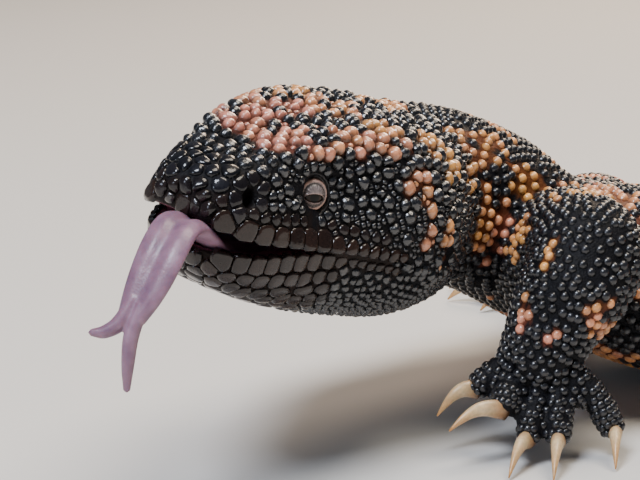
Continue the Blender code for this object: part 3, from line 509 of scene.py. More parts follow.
def slab_mesh(name, outline, half_width):
    """A slab across the head whose side outline is given as (u, z) points."""
    near = [head_point(u, half_width, z) for u, z in outline]
    far = [head_point(u, -half_width, z) for u, z in outline]
    count = len(outline)
    verts = (np.array(near + far) + SHIFT) * MM
    faces = [tuple(range(count)), tuple(range(2 * count - 1, count - 1, -1))]
    faces += [(i, (i + 1) % count, count + (i + 1) % count, count + i) for i in range(count)]
    mesh = bpy.data.meshes.new(name)
    mesh.from_pydata(verts.tolist(), [], faces)
    bm = bmesh.new()
    bm.from_mesh(mesh)
    bmesh.ops.triangulate(bm, faces=bm.faces)
    bmesh.ops.recalc_face_normals(bm, faces=bm.faces)
    bm.to_mesh(mesh)
    bm.free()
    return mesh


def give(obj, material):
    """The object's one material, on every face."""
    obj.data.materials.clear()
    obj.data.polygons.foreach_set("material_index", np.zeros(len(obj.data.polygons), np.int32))
    obj.data.materials.append(material)


def plain_mesh(obj):
    """The object's mesh with its modifiers applied, which are then removed."""
    graph = bpy.context.evaluated_depsgraph_get()
    made = bpy.data.meshes.new_from_object(obj.evaluated_get(graph))
    obj.modifiers.clear()
    obj.data = made
    return made


def combine(obj, meshes, operation):
    """One Boolean of obj with all the meshes."""
    group = bpy.data.collections.new("pieces")
    bpy.context.scene.collection.children.link(group)
    for i, mesh in enumerate(meshes):
        group.objects.link(bpy.data.objects.new(f"piece_{i}", mesh))
    modifier = obj.modifiers.new(operation.lower(), "BOOLEAN")
    modifier.operation = operation
    modifier.solver = "MANIFOLD"
    modifier.operand_type = "COLLECTION"
    modifier.collection = group
    plain_mesh(obj)
    for piece in list(group.objects):
        bpy.data.objects.remove(piece, do_unlink=True)
    bpy.data.collections.remove(group)


def remesh(obj, voxel, smoothing, most_triangles=None):
    """One even skin over all that obj holds, smoothed, and thinned where a limit is given."""
    modifier = obj.modifiers.new("even", "REMESH")
    modifier.mode = "VOXEL"
    modifier.voxel_size = voxel * MM
    if smoothing:
        modifier = obj.modifiers.new("soften", "SMOOTH")
        modifier.factor = 0.5
        modifier.iterations = smoothing
    mesh = plain_mesh(obj)
    mesh.calc_loop_triangles()
    count = len(mesh.loop_triangles)
    if most_triangles and count > most_triangles:
        modifier = obj.modifiers.new("thin", "DECIMATE")
        modifier.ratio = most_triangles / count
        plain_mesh(obj)
    obj.data.shade_smooth()


def points_of(mesh):
    points = np.empty(len(mesh.vertices) * 3, np.float32)
    mesh.vertices.foreach_get("co", points)
    return points.reshape(-1, 3).astype(float) / MM - SHIFT


def normals_of(mesh):
    normals = np.empty(len(mesh.vertices) * 3, np.float32)
    mesh.vertex_normals.foreach_get("vector", normals)
    return normals.reshape(-1, 3).astype(float)


def put_points(mesh, points):
    mesh.vertices.foreach_set("co", ((points + SHIFT) * MM).astype(np.float32).ravel())
    mesh.update()


def put_attribute(mesh, name, values, kind, domain="POINT"):
    attribute = mesh.attributes.new(name, kind, domain)
    field = {"FLOAT": "value", "FLOAT_VECTOR": "vector", "FLOAT2": "vector", "FLOAT_COLOR": "color"}[kind]
    attribute.data.foreach_set(field, np.asarray(values, np.float32).ravel())


def distance_to_line(points, line):
    """Each point's distance to a line of several straight lengths."""
    best = np.full(len(points), 1e9)
    for a, b in zip(line, line[1:]):
        a, b = np.asarray(a, float), np.asarray(b, float)
        t = np.clip((points - a) @ (b - a) / ((b - a) @ (b - a)), 0, 1)
        best = np.minimum(best, np.linalg.norm(points - a - t[:, None] * (b - a), axis=1))
    return best


# Materials


def linear(hex_colour):
    """An sRGB colour such as #A0B0C0 as linear values."""
    values = [int(hex_colour[i : i + 2], 16) / 255 for i in (1, 3, 5)]
    return tuple(v / 12.92 if v <= 0.04045 else ((v + 0.055) / 1.055) ** 2.4 for v in values)


def add_node(tree, kind, inputs=(), **settings):
    """A node with its settings, and its inputs given as values or as the sockets that feed them."""
    made = tree.nodes.new(kind)
    for key, value in settings.items():
        setattr(made, key, value)
    for key, value in dict(inputs).items():
        if isinstance(value, bpy.types.NodeSocket):
            tree.links.new(value, made.inputs[key])
        else:
            made.inputs[key].default_value = value
    return made


def new_material(name):
    """An empty material: its tree, and its surface's output."""
    material = bpy.data.materials.new(name)
    material.use_nodes = True
    tree = material.node_tree
    tree.nodes.clear()
    return material, tree, add_node(tree, "ShaderNodeOutputMaterial")


def ramp(tree, fac, stops):
    """A colour ramp from (position, linear colour) stops."""
    made = add_node(tree, "ShaderNodeValToRGB", {0: fac})
    elements = made.color_ramp.elements
    while len(elements) < len(stops):
        elements.new(0.5)
    for element, (position, colour) in zip(elements, stops):
        element.position = position
        element.color = (*colour, 1.0)
    return made.outputs[0]


def grey(value):
    return (value, value, value)


def noise(tree, coordinates, size_mm, detail=3.0, roughness=0.55):
    """A noise whose grain is about size_mm across."""
    made = add_node(
        tree, "ShaderNodeTexNoise",
        {"Vector": coordinates, "Scale": 1.0 / (size_mm * MM), "Detail": detail, "Roughness": roughness},
    )
    return made.outputs["Fac"]


def bump(tree, height, depth_mm, strength=1.0, normal=None):
    inputs = {"Height": height, "Distance": depth_mm * MM, "Strength": strength}
    if normal:
        inputs["Normal"] = normal
    return add_node(tree, "ShaderNodeBump", inputs).outputs["Normal"]


def bead_material(name, roughness, sheen, shine, painted_root_shade, wrinkle_mm):
    """Keratin beads: each is one colour, darkened towards its root by painted shade, with a thin hard gloss that gives
    small sharp highlights, and wrinkles and fine pits that break them."""
    material, tree, output = new_material(name)
    place = add_node(tree, "ShaderNodeTexCoord").outputs["Object"]
    tint = add_node(tree, "ShaderNodeAttribute", attribute_name="tint").outputs["Color"]
    rise = add_node(tree, "ShaderNodeAttribute", attribute_name="rise").outputs["Fac"]
    mottle = ramp(tree, noise(tree, place, 0.55), [(0.3, grey(0.7)), (0.7, grey(1.15))])
    # Painted shade: the colour darkens towards each bead's root, where the beads meet.
    foot = ramp(tree, rise, [(0.0, grey(painted_root_shade)), (0.4, grey(0.5 + 0.5 * painted_root_shade)), (0.8, grey(1.0))])
    shaded = add_node(tree, "ShaderNodeMix", {0: 1.0, 6: tint, 7: foot}, data_type="RGBA", blend_type="MULTIPLY")
    varied = add_node(
        tree, "ShaderNodeMix", {0: 1.0, 6: shaded.outputs[2], 7: mottle}, data_type="RGBA", blend_type="MULTIPLY"
    )
    rough = add_node(
        tree, "ShaderNodeMapRange",
        {0: noise(tree, place, 0.35), 1: 0.3, 2: 0.75, 3: roughness - 0.06, 4: roughness + 0.14},
    )
    wrinkles = bump(tree, noise(tree, place, 0.6, 2.0), wrinkle_mm, 0.9)
    pits = bump(tree, noise(tree, place, 0.16, 4.0), 0.04, 0.4, wrinkles)
    shader = add_node(
        tree, "ShaderNodeBsdfPrincipled",
        {
            "Base Color": varied.outputs[2], "Roughness": rough.outputs[0], "Normal": pits,
            "Specular IOR Level": sheen, "Coat Weight": shine, "Coat Roughness": 0.1, "Coat Normal": wrinkles,
        },
    )
    tree.links.new(shader.outputs[0], output.inputs[0])
    return material


def hide_material():
    """Hide between the beads: dull, finely granular, and moist and dark red inside the mouth."""
    material, tree, output = new_material("granular_hide")
    place = add_node(tree, "ShaderNodeTexCoord").outputs["Object"]
    tint = add_node(tree, "ShaderNodeAttribute", attribute_name="tint").outputs["Color"]
    mouth = add_node(tree, "ShaderNodeAttribute", attribute_name="mouth").outputs["Fac"]
    grains = add_node(tree, "ShaderNodeTexVoronoi", {"Vector": place, "Scale": 1 / (0.38 * MM)})
    worn = ramp(tree, noise(tree, place, 1.4), [(0.3, grey(0.65)), (0.7, grey(1.15))])
    dry = add_node(tree, "ShaderNodeMix", {0: 1.0, 6: tint, 7: worn}, data_type="RGBA", blend_type="MULTIPLY")
    lining = ramp(tree, noise(tree, place, 2.2), [(0.3, linear("#55303E")), (0.7, linear("#8A5062"))])
    colour = add_node(tree, "ShaderNodeMix", {0: mouth, 6: dry.outputs[2], 7: lining}, data_type="RGBA")
    rough = add_node(tree, "ShaderNodeMapRange", {0: mouth, 1: 0.0, 2: 1.0, 3: 0.62, 4: 0.28})
    grain = bump(tree, grains.outputs["Distance"], 0.12, 0.7)
    wrinkle = bump(tree, noise(tree, place, 0.9, 4.0), 0.2, 0.4, grain)
    shader = add_node(
        tree, "ShaderNodeBsdfPrincipled",
        {
            "Base Color": colour.outputs[2], "Roughness": rough.outputs[0], "Normal": wrinkle,
            "Specular IOR Level": 0.15,
        },
    )
    tree.links.new(shader.outputs[0], output.inputs[0])
    return material


def eye_material():
    """A wet cornea over a brown iris that darkens to its edge, round a wide dark pupil."""
    material, tree, output = new_material("wet_dark_eye")
    place = add_node(tree, "ShaderNodeTexCoord").outputs["Object"]
    off_axis = add_node(tree, "ShaderNodeAttribute", attribute_name="off_axis").outputs["Fac"]
    rings = ramp(
        tree, off_axis,
        [(0.0, linear("#060403")), (0.17, linear("#070403")), (0.21, linear("#2C1B10")), (0.33, linear("#1C110A")),
         (0.42, linear("#140B08")), (1.0, linear("#1C1512"))],
    )
    fibres = ramp(tree, noise(tree, place, 0.3), [(0.3, grey(0.6)), (0.7, grey(1.3))])
    colour = add_node(tree, "ShaderNodeMix", {0: 1.0, 6: rings, 7: fibres}, data_type="RGBA", blend_type="MULTIPLY")
    shader = add_node(
        tree, "ShaderNodeBsdfPrincipled",
        {
            "Base Color": colour.outputs[2], "Roughness": 0.3, "Specular IOR Level": 0.05, "Coat Weight": 0.3,
            "Coat Roughness": 0.02,
        },
    )
    tree.links.new(shader.outputs[0], output.inputs[0])
    return material


def lid_material():
    """Thin lid skin: a pink-brown rim, a grey upper lid with fine folds, near black outside the rim. Its tint holds
    painted shade in the grooves round the rim and painted light and shade along the folds.
    """
    material, tree, output = new_material("wrinkled_lid_skin")
    place = add_node(tree, "ShaderNodeTexCoord").outputs["Object"]
    tint = add_node(tree, "ShaderNodeAttribute", attribute_name="tint").outputs["Color"]
    mottle = ramp(tree, noise(tree, place, 0.45), [(0.3, grey(0.6)), (0.7, grey(1.25))])
    colour = add_node(tree, "ShaderNodeMix", {0: 1.0, 6: tint, 7: mottle}, data_type="RGBA", blend_type="MULTIPLY")
    grain = bump(tree, noise(tree, place, 0.14, 4.0), 0.06, 0.6)
    shader = add_node(
        tree, "ShaderNodeBsdfPrincipled",
        {"Base Color": colour.outputs[2], "Roughness": 0.38, "Normal": grain, "Coat Weight": 0.25},
    )
    tree.links.new(shader.outputs[0], output.inputs[0])
    return material


def tongue_material():
    """Wet flesh: lilac pink, softly lit from within, with fine papillae and a dark groove."""
    material, tree, output = new_material("wet_lilac_flesh")
    place = add_node(tree, "ShaderNodeTexCoord").outputs["Object"]
    cloud = noise(tree, place, 3.0)
    colour = ramp(tree, cloud, [(0.25, linear("#6E5066")), (0.5, linear("#836275")), (0.8, linear("#9B778A"))])
    papillae = add_node(tree, "ShaderNodeTexVoronoi", {"Vector": place, "Scale": 1 / (0.3 * MM)})
    soft = bump(tree, papillae.outputs["Distance"], 0.05, 0.35)
    waves = bump(tree, noise(tree, place, 1.2), 0.2, 0.3, soft)
    shader = add_node(
        tree, "ShaderNodeBsdfPrincipled",
        {
            "Base Color": colour, "Roughness": 0.42, "Normal": waves, "Subsurface Weight": 0.25,
            "Subsurface Scale": 1.2 * MM, "Coat Weight": 0.15, "Coat Roughness": 0.25,
        },
    )
    tree.links.new(shader.outputs[0], output.inputs[0])
    return material


def claw_material():
    """Horn: brown at the root, cream-yellow along its length, a little translucent, with long fine growth lines."""
    material, tree, output = new_material("amber_horn")
    place = add_node(tree, "ShaderNodeTexCoord").outputs["Object"]
    reach = add_node(tree, "ShaderNodeAttribute", attribute_name="rise").outputs["Fac"]
    colour = ramp(
        tree, reach,
        [(0.0, linear("#4A3324")), (0.16, linear("#A9825A")), (0.45, linear("#DDC094")), (1.0, linear("#C08A4A"))],
    )
    streaks = ramp(tree, noise(tree, place, 0.6), [(0.3, grey(0.8)), (0.7, grey(1.08))])
    varied = add_node(tree, "ShaderNodeMix", {0: 1.0, 6: colour, 7: streaks}, data_type="RGBA", blend_type="MULTIPLY")
    shader = add_node(
        tree, "ShaderNodeBsdfPrincipled",
        {
            "Base Color": varied.outputs[2], "Roughness": 0.3, "IOR": 1.55, "Subsurface Weight": 0.15,
            "Subsurface Scale": 0.8 * MM, "Normal": bump(tree, noise(tree, place, 0.25), 0.04, 0.4),
        },
    )
    tree.links.new(shader.outputs[0], output.inputs[0])
    return material


def floor_material():
    """Matt studio board, pale and even."""
    material, tree, output = new_material("pale_studio_board")
    shader = add_node(
        tree, "ShaderNodeBsdfPrincipled", {"Base Color": (*linear("#D9D6D0"), 1.0), "Roughness": 0.85}
    )
    tree.links.new(shader.outputs[0], output.inputs[0])
    return material


# Markings, the same for the beads and for the skin under them


BLACK, PINK, ORANGE = (np.array(linear(c)) for c in ("#131318", "#DA8B74", "#EBA656"))
BROWN_PLATE = np.array(linear("#281A14"))


def wander(points, size, seed):
    """A smooth random value about 0, whose hills are about size millimetres apart."""
    rng = np.random.default_rng(seed)
    waves = unit(rng.normal(size=(14, 3))) * (2 * math.pi / size) * rng.uniform(0.6, 1.5, (14, 1))
    phases = rng.uniform(0, 2 * math.pi, 14)
    return np.cos(points @ waves.T + phases).sum(axis=1) / math.sqrt(7)


def pale_share(points, along, part):
    """How pale a place is, from 0 to 1, and how orange."""
    local = in_head(points)
    sides = np.abs(local[:, 1])
    left = local[:, 1]
    mirrored = np.stack([local[:, 0], np.where(left < -6, -left, left), local[:, 2]], axis=1)
    ragged = 0.22 * wander(points, 5.0, 3) + 0.12 * wander(points, 2.4, 4)
    best = np.full(len(points), -9.0)
    orange = np.zeros(len(points))
    for centre, radii, hue in PALE_PATCHES:
        inside = 1.15 - np.linalg.norm((mirrored - centre) / radii, axis=1) + ragged
        orange = np.where(inside > best, hue, orange)
        best = np.maximum(best, inside)
    bands = np.cos(2 * math.pi * along / 36 + 1.5 * wander(points, 70, 5))
    net = 0.75 * bands + 0.95 * wander(points, 15, 6) + 0.3 * wander(points, 6, 7)
    if part == "limb":
        net = 1.0 * wander(points, 11, 8) + 0.4 * wander(points, 4, 9) - 1.25
    elif part == "foot":
        net = np.full(len(points), -2.0)
    else:
        low = smoothstep(10, 3, points[:, 2])
        net = net - 0.1 - 0.7 * low
    head = smoothstep(82, 72, local[:, 0]) * (local[:, 2] > -20) * (sides < 24) * (part == "trunk")
    pale = np.where(head > 0.5, best, net)
    orange = np.where(head > 0.5, orange, 0.45 + 0.3 * wander(points, 40, 10))
    return smoothstep(-0.08, 0.08, pale), np.clip(orange, 0, 1)


def tints(points, along, part, seed, strays=0.015):
    """One colour for each bead."""
    rng = np.random.default_rng(seed)
    pale, orange = pale_share(points, along, part)
    stray = rng.uniform(size=len(points))
    pale = np.where((pale > 0.5) & (stray < 0.09), 0.0, pale)
    pale = np.where((pale <= 0.5) & (stray > 1 - strays) & (part != "foot"), 1.0, pale)
    pale = (pale > 0.5).astype(float)[:, None]
    orange = np.clip(orange + rng.normal(0, 0.12, len(points)), 0, 1)[:, None]
    light = rng.uniform(0.72, 1.12, (len(points), 1))
    colour = (1 - pale) * BLACK * rng.uniform(0.7, 1.5, (len(points), 1))
    return colour + pale * light * ((1 - orange) * PINK + orange * ORANGE)


# Seeds of the beads


class Seeds:
    """Where scales grow: place, outward normal, lie, half sizes, tint and the root's place on the unwrap."""

    def __init__(self, place, normal, lie, half, tint, root):
        self.place, self.normal, self.half = (np.asarray(v, float) for v in (place, normal, half))
        lie = np.asarray(lie, float)
        self.lie = unit(lie - (lie * self.normal).sum(axis=1, keepdims=True) * self.normal)
        self.tint, self.root = np.asarray(tint, float), np.asarray(root, float)

    def keep(self, chosen):
        return Seeds(*(v[chosen] for v in (self.place, self.normal, self.lie, self.half, self.tint, self.root)))


def joined(several):
    fields = ("place", "normal", "lie", "half", "tint", "root")
    return Seeds(*(np.concatenate([getattr(s, f) for s in several]) for f in fields))


def on_form(whole, skin, points, furthest):
    """The nearest place and normal of the uncut form to each point, and which places the skin still has."""
    places, normals, _ = on_skin(whole, points, 9.0)
    _, _, near = on_skin(skin, places, furthest)
    return places, normals, near


def on_skin(tree, points, furthest):
    """The nearest place and normal of the skin to each point, and which points are near enough to it."""
    places, normals, near = [], [], []
    for point in (points + SHIFT) * MM:
        place, normal, _, distance = tree.find_nearest(Vector(point))
        places.append(place)
        normals.append(normal)
        near.append(distance < furthest * MM)
    return np.array(places) / MM - SHIFT, np.array(normals), np.array(near)


def rows_over(loft, start, end, pitch, depth, seed):
    """Staggered rows of points over a form: places, lie, distance along and share of the way round."""
    rng = np.random.default_rng(seed)
    places, lies, alongs, arounds = [], [], [], []
    along, row, fine = start, 0, 144
    while along < end:
        step = pitch(along)
        ring = loft.circle(along, fine, -depth)
        closed = np.vstack([ring, ring[:1]])
        arc = np.concatenate([[0], np.cumsum(np.linalg.norm(np.diff(closed, axis=0), axis=1))])
        count = max(5, int(round(arc[-1] / step)))
        at = (np.arange(count) + 0.5 * (row % 2) + rng.uniform(-0.07, 0.07, count)) * arc[-1] / count % arc[-1]
        points = np.stack([np.interp(at, arc, closed[:, k]) for k in range(3)], axis=1)
        ahead = loft.circle(min(along + 1.0, loft.length), fine).mean(axis=0)
        forward = unit(ahead - loft.circle(max(along - 1.0, 0), fine).mean(axis=0))
        points = points + forward * rng.uniform(-0.06, 0.06, (count, 1)) * step
        places.append(points)
        lies.append(np.repeat(forward[None], count, axis=0))
        alongs.append(np.full(count, along))
        arounds.append(at / arc[-1])
        along += step * 0.87
        row += 1
    return tuple(np.concatenate(v) for v in (places, lies, alongs, arounds))


def scattered_over(loft, tree, pitch, depth, seed, taken):
    """Points spread evenly over a form where the skin shows it: places, normals, lie, along and share around."""
    rng = np.random.default_rng(seed)
    fine, step = 96, 0.3
    alongs = np.arange(0.2, loft.length, step)
    rings = np.array([loft.circle(a, fine, -depth) for a in alongs])
    girths = np.linalg.norm(rings - np.roll(rings, 1, axis=1), axis=2).sum(axis=1)
    count = int(girths.sum() * step / pitch**2 * 11)
    rows = rng.choice(len(alongs), count, p=girths / girths.sum())
    turns = rng.integers(0, fine, count)
    points = rings[rows, turns] + rng.normal(0, 0.1, (count, 3))
    middles = rings.mean(axis=1)
    forward = unit(np.gradient(middles, axis=0))
    places, normals, near = on_skin(tree, points, 0.9)
    places, normals, rows, turns = places[near], normals[near], rows[near], turns[near]
    keep = thin_out(places, np.full(len(places), pitch * 0.8), taken)
    chosen, owned = places[keep], np.concatenate([places[keep], taken[0]])
    for _ in range(3):
        finder = KDTree(len(owned))
        for i, place in enumerate(owned):
            finder.insert(Vector(place), i)
        finder.balance()
        owner = np.array([finder.find(Vector(p))[1] for p in places])
        weight = np.bincount(owner, minlength=len(owned))[: len(chosen)]
        for axis in range(3):
            total = np.bincount(owner, places[:, axis], len(owned))[: len(chosen)]
            moved = total / np.maximum(weight, 1)
            chosen[:, axis] += np.where(weight > 0, 0.75 * (moved - chosen[:, axis]), 0.0)
        owned = np.concatenate([chosen, taken[0]])
    chosen, normals, _ = on_skin(tree, chosen, 9.0)
    return chosen, normals, forward[rows[keep]], alongs[rows[keep]], turns[keep] / fine


def thin_out(places, radii, taken=None):
    """Which points stay when each keeps its own radius clear of those before it."""
    cell = 3.0
    grid = {}
    if taken is not None:
        for place, radius in zip(*taken):
            grid.setdefault(tuple((place // cell).astype(int)), []).append((place, radius))
    keep = np.zeros(len(places), bool)
    for i, (place, radius) in enumerate(zip(places, radii)):
        key = (place // cell).astype(int)
        clear = True
        for dx in (-1, 0, 1):
            for dy in (-1, 0, 1):
                for dz in (-1, 0, 1):
                    for other, wide in grid.get((key[0] + dx, key[1] + dy, key[2] + dz), ()):
                        gap = place - other
                        if gap @ gap < (0.5 * (radius + wide)) ** 2:
                            clear = False
                            break
                    if not clear:
                        break
                if not clear:
                    break
            if not clear:
                break
        if clear:
            keep[i] = True
            grid.setdefault(tuple(key), []).append((place, radius))
    return keep


# Scales as meshes


DOME_SHARES = (1.0, 0.985, 0.88, 0.66, 0.36)


def scale_mesh(name, seeds, reach, flatness, sink, sides):
    """Scales in one mesh. Reach holds each one's radius in every direction, flatness its profile."""
    count = len(seeds.place)
    angles = np.arange(sides) * 2 * math.pi / sides
    across = np.cross(seeds.normal, seeds.lie)
    flat = flatness[:, None]
    rows, rises = [], []
    for k, share in enumerate(DOME_SHARES):
        out = reach * share
        rise = np.maximum(1 - share**flat, 0) ** 0.62 if k else np.zeros((count, 1))
        height = seeds.half[:, 2:3] * rise - (sink if k == 0 else 0.0)
        x, y = out * np.cos(angles), out * np.sin(angles)
        rows.append(
            seeds.place[:, None]
            + x[:, :, None] * seeds.lie[:, None]
            + y[:, :, None] * across[:, None]
            + height[:, :, None] * seeds.normal[:, None]
        )
        rises.append(np.repeat(rise, sides, axis=1))
    top = seeds.place + seeds.normal * seeds.half[:, 2:3]
    verts = np.concatenate([np.stack(rows, axis=1).reshape(count, -1, 3), top[:, None]], axis=1)
    rise = np.concatenate([np.stack(rises, axis=1).reshape(count, -1), np.ones((count, 1))], axis=1)
    each = len(DOME_SHARES) * sides + 1
    quads = [
        (r * sides + i, r * sides + (i + 1) % sides, (r + 1) * sides + (i + 1) % sides, (r + 1) * sides + i)
        for r in range(len(DOME_SHARES) - 1)
        for i in range(sides)
    ]
    last = (len(DOME_SHARES) - 1) * sides
    cap = [(last + i, last + (i + 1) % sides, each - 1) for i in range(sides)]
    start = np.arange(count)[:, None] * each
    corners = np.concatenate([
        (start + np.array(quads).ravel()).reshape(count, -1), (start + np.array(cap).ravel()).reshape(count, -1)
    ], axis=1).ravel()
    sizes = np.tile([4] * len(quads) + [3] * len(cap), count)
    mesh = bpy.data.meshes.new(name)
    mesh.vertices.add(count * each)
    floor = 0.04
    verts[..., 2] = np.maximum(verts[..., 2], floor)
    mesh.vertices.foreach_set("co", ((verts.reshape(-1, 3) + SHIFT) * MM).astype(np.float32).ravel())
    mesh.loops.add(len(corners))
    mesh.loops.foreach_set("vertex_index", corners.astype(np.int32))
    mesh.polygons.add(len(sizes))
    mesh.polygons.foreach_set("loop_start", np.concatenate([[0], np.cumsum(sizes)[:-1]]).astype(np.int32))
    mesh.update(calc_edges=True)
    mesh.validate()
    put_attribute(mesh, "rise", rise, "FLOAT")
    put_attribute(mesh, "tint", np.repeat(np.c_[seeds.tint, np.ones(count)], each, axis=0), "FLOAT_COLOR")
    patch = 0.0014 * np.stack(
        [np.outer(DOME_SHARES, np.cos(angles)).ravel(), np.outer(DOME_SHARES, np.sin(angles)).ravel()], axis=1
    )
    spot = seeds.root[:, None] + np.vstack([patch, [[0, 0]]])[None]
    put_attribute(mesh, "OFBake", spot.reshape(-1, 2)[corners], "FLOAT2", "CORNER")
    mesh.shade_smooth()
    return mesh


def cell_reach(seeds, others, others_half, flatness, sides, grooves):
    """How far each scale reaches in each direction before it meets its neighbours; flat ones keep sharp corners."""
    places = np.concatenate([seeds.place, others])
    wide = np.concatenate([seeds.half[:, 0], others_half])
    tree = KDTree(len(places))
    for i, place in enumerate(places):
        tree.insert(Vector(place), i)
    tree.balance()
    across = np.cross(seeds.normal, seeds.lie)
    angles = np.arange(sides) * 2 * math.pi / sides
    most = 1.26 + 0.24 * smoothstep(2.0, 5.0, flatness)
    power = 8.0 + 9.0 * smoothstep(2.5, 6.0, flatness)
    reach = np.empty((len(seeds.place), sides))
    for i, place in enumerate(seeds.place):
        found = [j for _, j, d in tree.find_n(Vector(place), 12) if j != i]
        offset = places[found] - place
        x, y = offset @ seeds.lie[i], offset @ across[i]
        far = np.maximum(np.linalg.norm(offset, axis=1), 1e-3)
        edge = far * wide[i] / (wide[i] + wide[found])
        facing = np.maximum(np.cos(angles[:, None] - np.arctan2(y, x)[None]), 0.0)
        pull = (facing / edge[None]) ** power[i]
        reach[i] = (pull.sum(axis=1) + (most[i] * wide[i]) ** -power[i]) ** (-1 / power[i])
    return np.maximum(reach - grooves[:, None] / 2, 0.12)


def stop_at_lips(seeds, reach):
    """Scales of either lip end at its edge."""
    local = in_head(seeds.place)
    upper, lower = lip_line(local[:, 0], False), lip_line(local[:, 0], True)
    above = local[:, 2] > 0.5 * (upper + lower)
    room = np.maximum(np.where(above, local[:, 2] - upper, lower - local[:, 2]), 0.3)
    room = np.where(local[:, 0] < MOUTH_CORNER_U, room, 99.0)[:, None]
    angles = np.arange(reach.shape[1]) * 2 * math.pi / reach.shape[1]
    rise = np.cos(angles) * (seeds.lie @ HEAD_AXES[:, 2:]) + np.sin(angles) * (
        np.cross(seeds.normal, seeds.lie) @ HEAD_AXES[:, 2:]
    )
    toward = rise * np.where(above, -1, 1)[:, None]
    return np.where(toward > 0.05, np.minimum(reach, room / np.maximum(toward, 0.05)), reach)


def bead_tree(material):
    """Geometry Nodes that set one round bead on every seed and make the result a plain mesh."""
    tree = bpy.data.node_groups.new("beads_on_seeds", "GeometryNodeTree")
    face = tree.interface
    face.new_socket("Geometry", in_out="INPUT", socket_type="NodeSocketGeometry")
    for name, kind, value in (
        ("Segments", "NodeSocketInt", 8), ("Rings", "NodeSocketInt", 8), ("Root cut", "NodeSocketFloat", -0.1),
        ("Sink", "NodeSocketFloat", 0.3), ("Size variation", "NodeSocketFloat", 0.07), ("Seed", "NodeSocketInt", 5),
        ("Patch", "NodeSocketFloat", 0.0014),
    ):
        socket = face.new_socket(name, in_out="INPUT", socket_type=kind)
        socket.default_value = value
    face.new_socket("Geometry", in_out="OUTPUT", socket_type="NodeSocketGeometry")
    given = add_node(tree, "NodeGroupInput").outputs
    ball = add_node(
        tree, "GeometryNodeMeshUVSphere", {"Segments": given["Segments"], "Rings": given["Rings"], "Radius": 1.0}
    )
    position = add_node(tree, "GeometryNodeInputPosition").outputs[0]
    height = add_node(tree, "ShaderNodeSeparateXYZ", {0: position}).outputs["Z"]
    low = add_node(tree, "FunctionNodeCompare", {0: height, 1: given["Root cut"]}, operation="LESS_THAN")
    dome = add_node(tree, "GeometryNodeDeleteGeometry", {0: ball.outputs["Mesh"], 1: low.outputs[0]}, domain="POINT")
    risen = add_node(
        tree, "GeometryNodeStoreNamedAttribute", {"Geometry": dome.outputs[0], "Name": "rise", "Value": height},
        data_type="FLOAT", domain="POINT",
    )
    kept = add_node(
        tree, "GeometryNodeStoreNamedAttribute",
        {"Geometry": risen.outputs[0], "Name": "local", "Value": position}, data_type="FLOAT_VECTOR", domain="POINT",
    )
    down = add_node(tree, "ShaderNodeMath", {0: 0.0, 1: given["Sink"]}, operation="SUBTRACT")
    offset = add_node(tree, "ShaderNodeCombineXYZ", {"Z": down.outputs[0]})
    sunk = add_node(
        tree, "GeometryNodeTransform", {"Geometry": kept.outputs[0], "Translation": offset.outputs[0]}
    )

    def read(name, kind):
        node = add_node(tree, "GeometryNodeInputNamedAttribute", {"Name": name}, data_type=kind)
        return node.outputs["Attribute"]

    turn = add_node(
        tree, "FunctionNodeAxesToRotation",
        {"Primary Axis": read("facing", "FLOAT_VECTOR"), "Secondary Axis": read("lie", "FLOAT_VECTOR")},
        primary_axis="Z", secondary_axis="X",
    )
    less = add_node(tree, "ShaderNodeMath", {0: 1.0, 1: given["Size variation"]}, operation="SUBTRACT")
    more = add_node(tree, "ShaderNodeMath", {0: 1.0, 1: given["Size variation"]}, operation="ADD")
    vary = add_node(
        tree, "FunctionNodeRandomValue",
        {2: less.outputs[0], 3: more.outputs[0], "Seed": given["Seed"]}, data_type="FLOAT",
    )
    size = add_node(
        tree, "ShaderNodeVectorMath", {0: read("half", "FLOAT_VECTOR"), "Scale": vary.outputs[1]}, operation="SCALE"
    )
    set_on = add_node(
        tree, "GeometryNodeInstanceOnPoints",
        {
            "Points": given["Geometry"], "Instance": sunk.outputs[0], "Rotation": turn.outputs[0],
            "Scale": size.outputs[0],
        },
    )
    real = add_node(tree, "GeometryNodeRealizeInstances", {0: set_on.outputs[0]})
    across = add_node(
        tree, "ShaderNodeVectorMath", {0: read("local", "FLOAT_VECTOR"), "Scale": given["Patch"]}, operation="SCALE"
    )
    spot = add_node(
        tree, "ShaderNodeVectorMath", {0: read("root", "FLOAT_VECTOR"), 1: across.outputs[0]}, operation="ADD"
    )
    mapped = add_node(
        tree, "GeometryNodeStoreNamedAttribute",
        {"Geometry": real.outputs[0], "Name": "OFBake", "Value": spot.outputs[0]}, data_type="FLOAT2", domain="CORNER",
    )
    smooth = add_node(tree, "GeometryNodeSetShadeSmooth", {0: mapped.outputs[0]})
    painted = add_node(tree, "GeometryNodeSetMaterial", {0: smooth.outputs[0], "Material": material})
    out = add_node(tree, "NodeGroupOutput")
    tree.links.new(painted.outputs[0], out.inputs[0])
    return tree


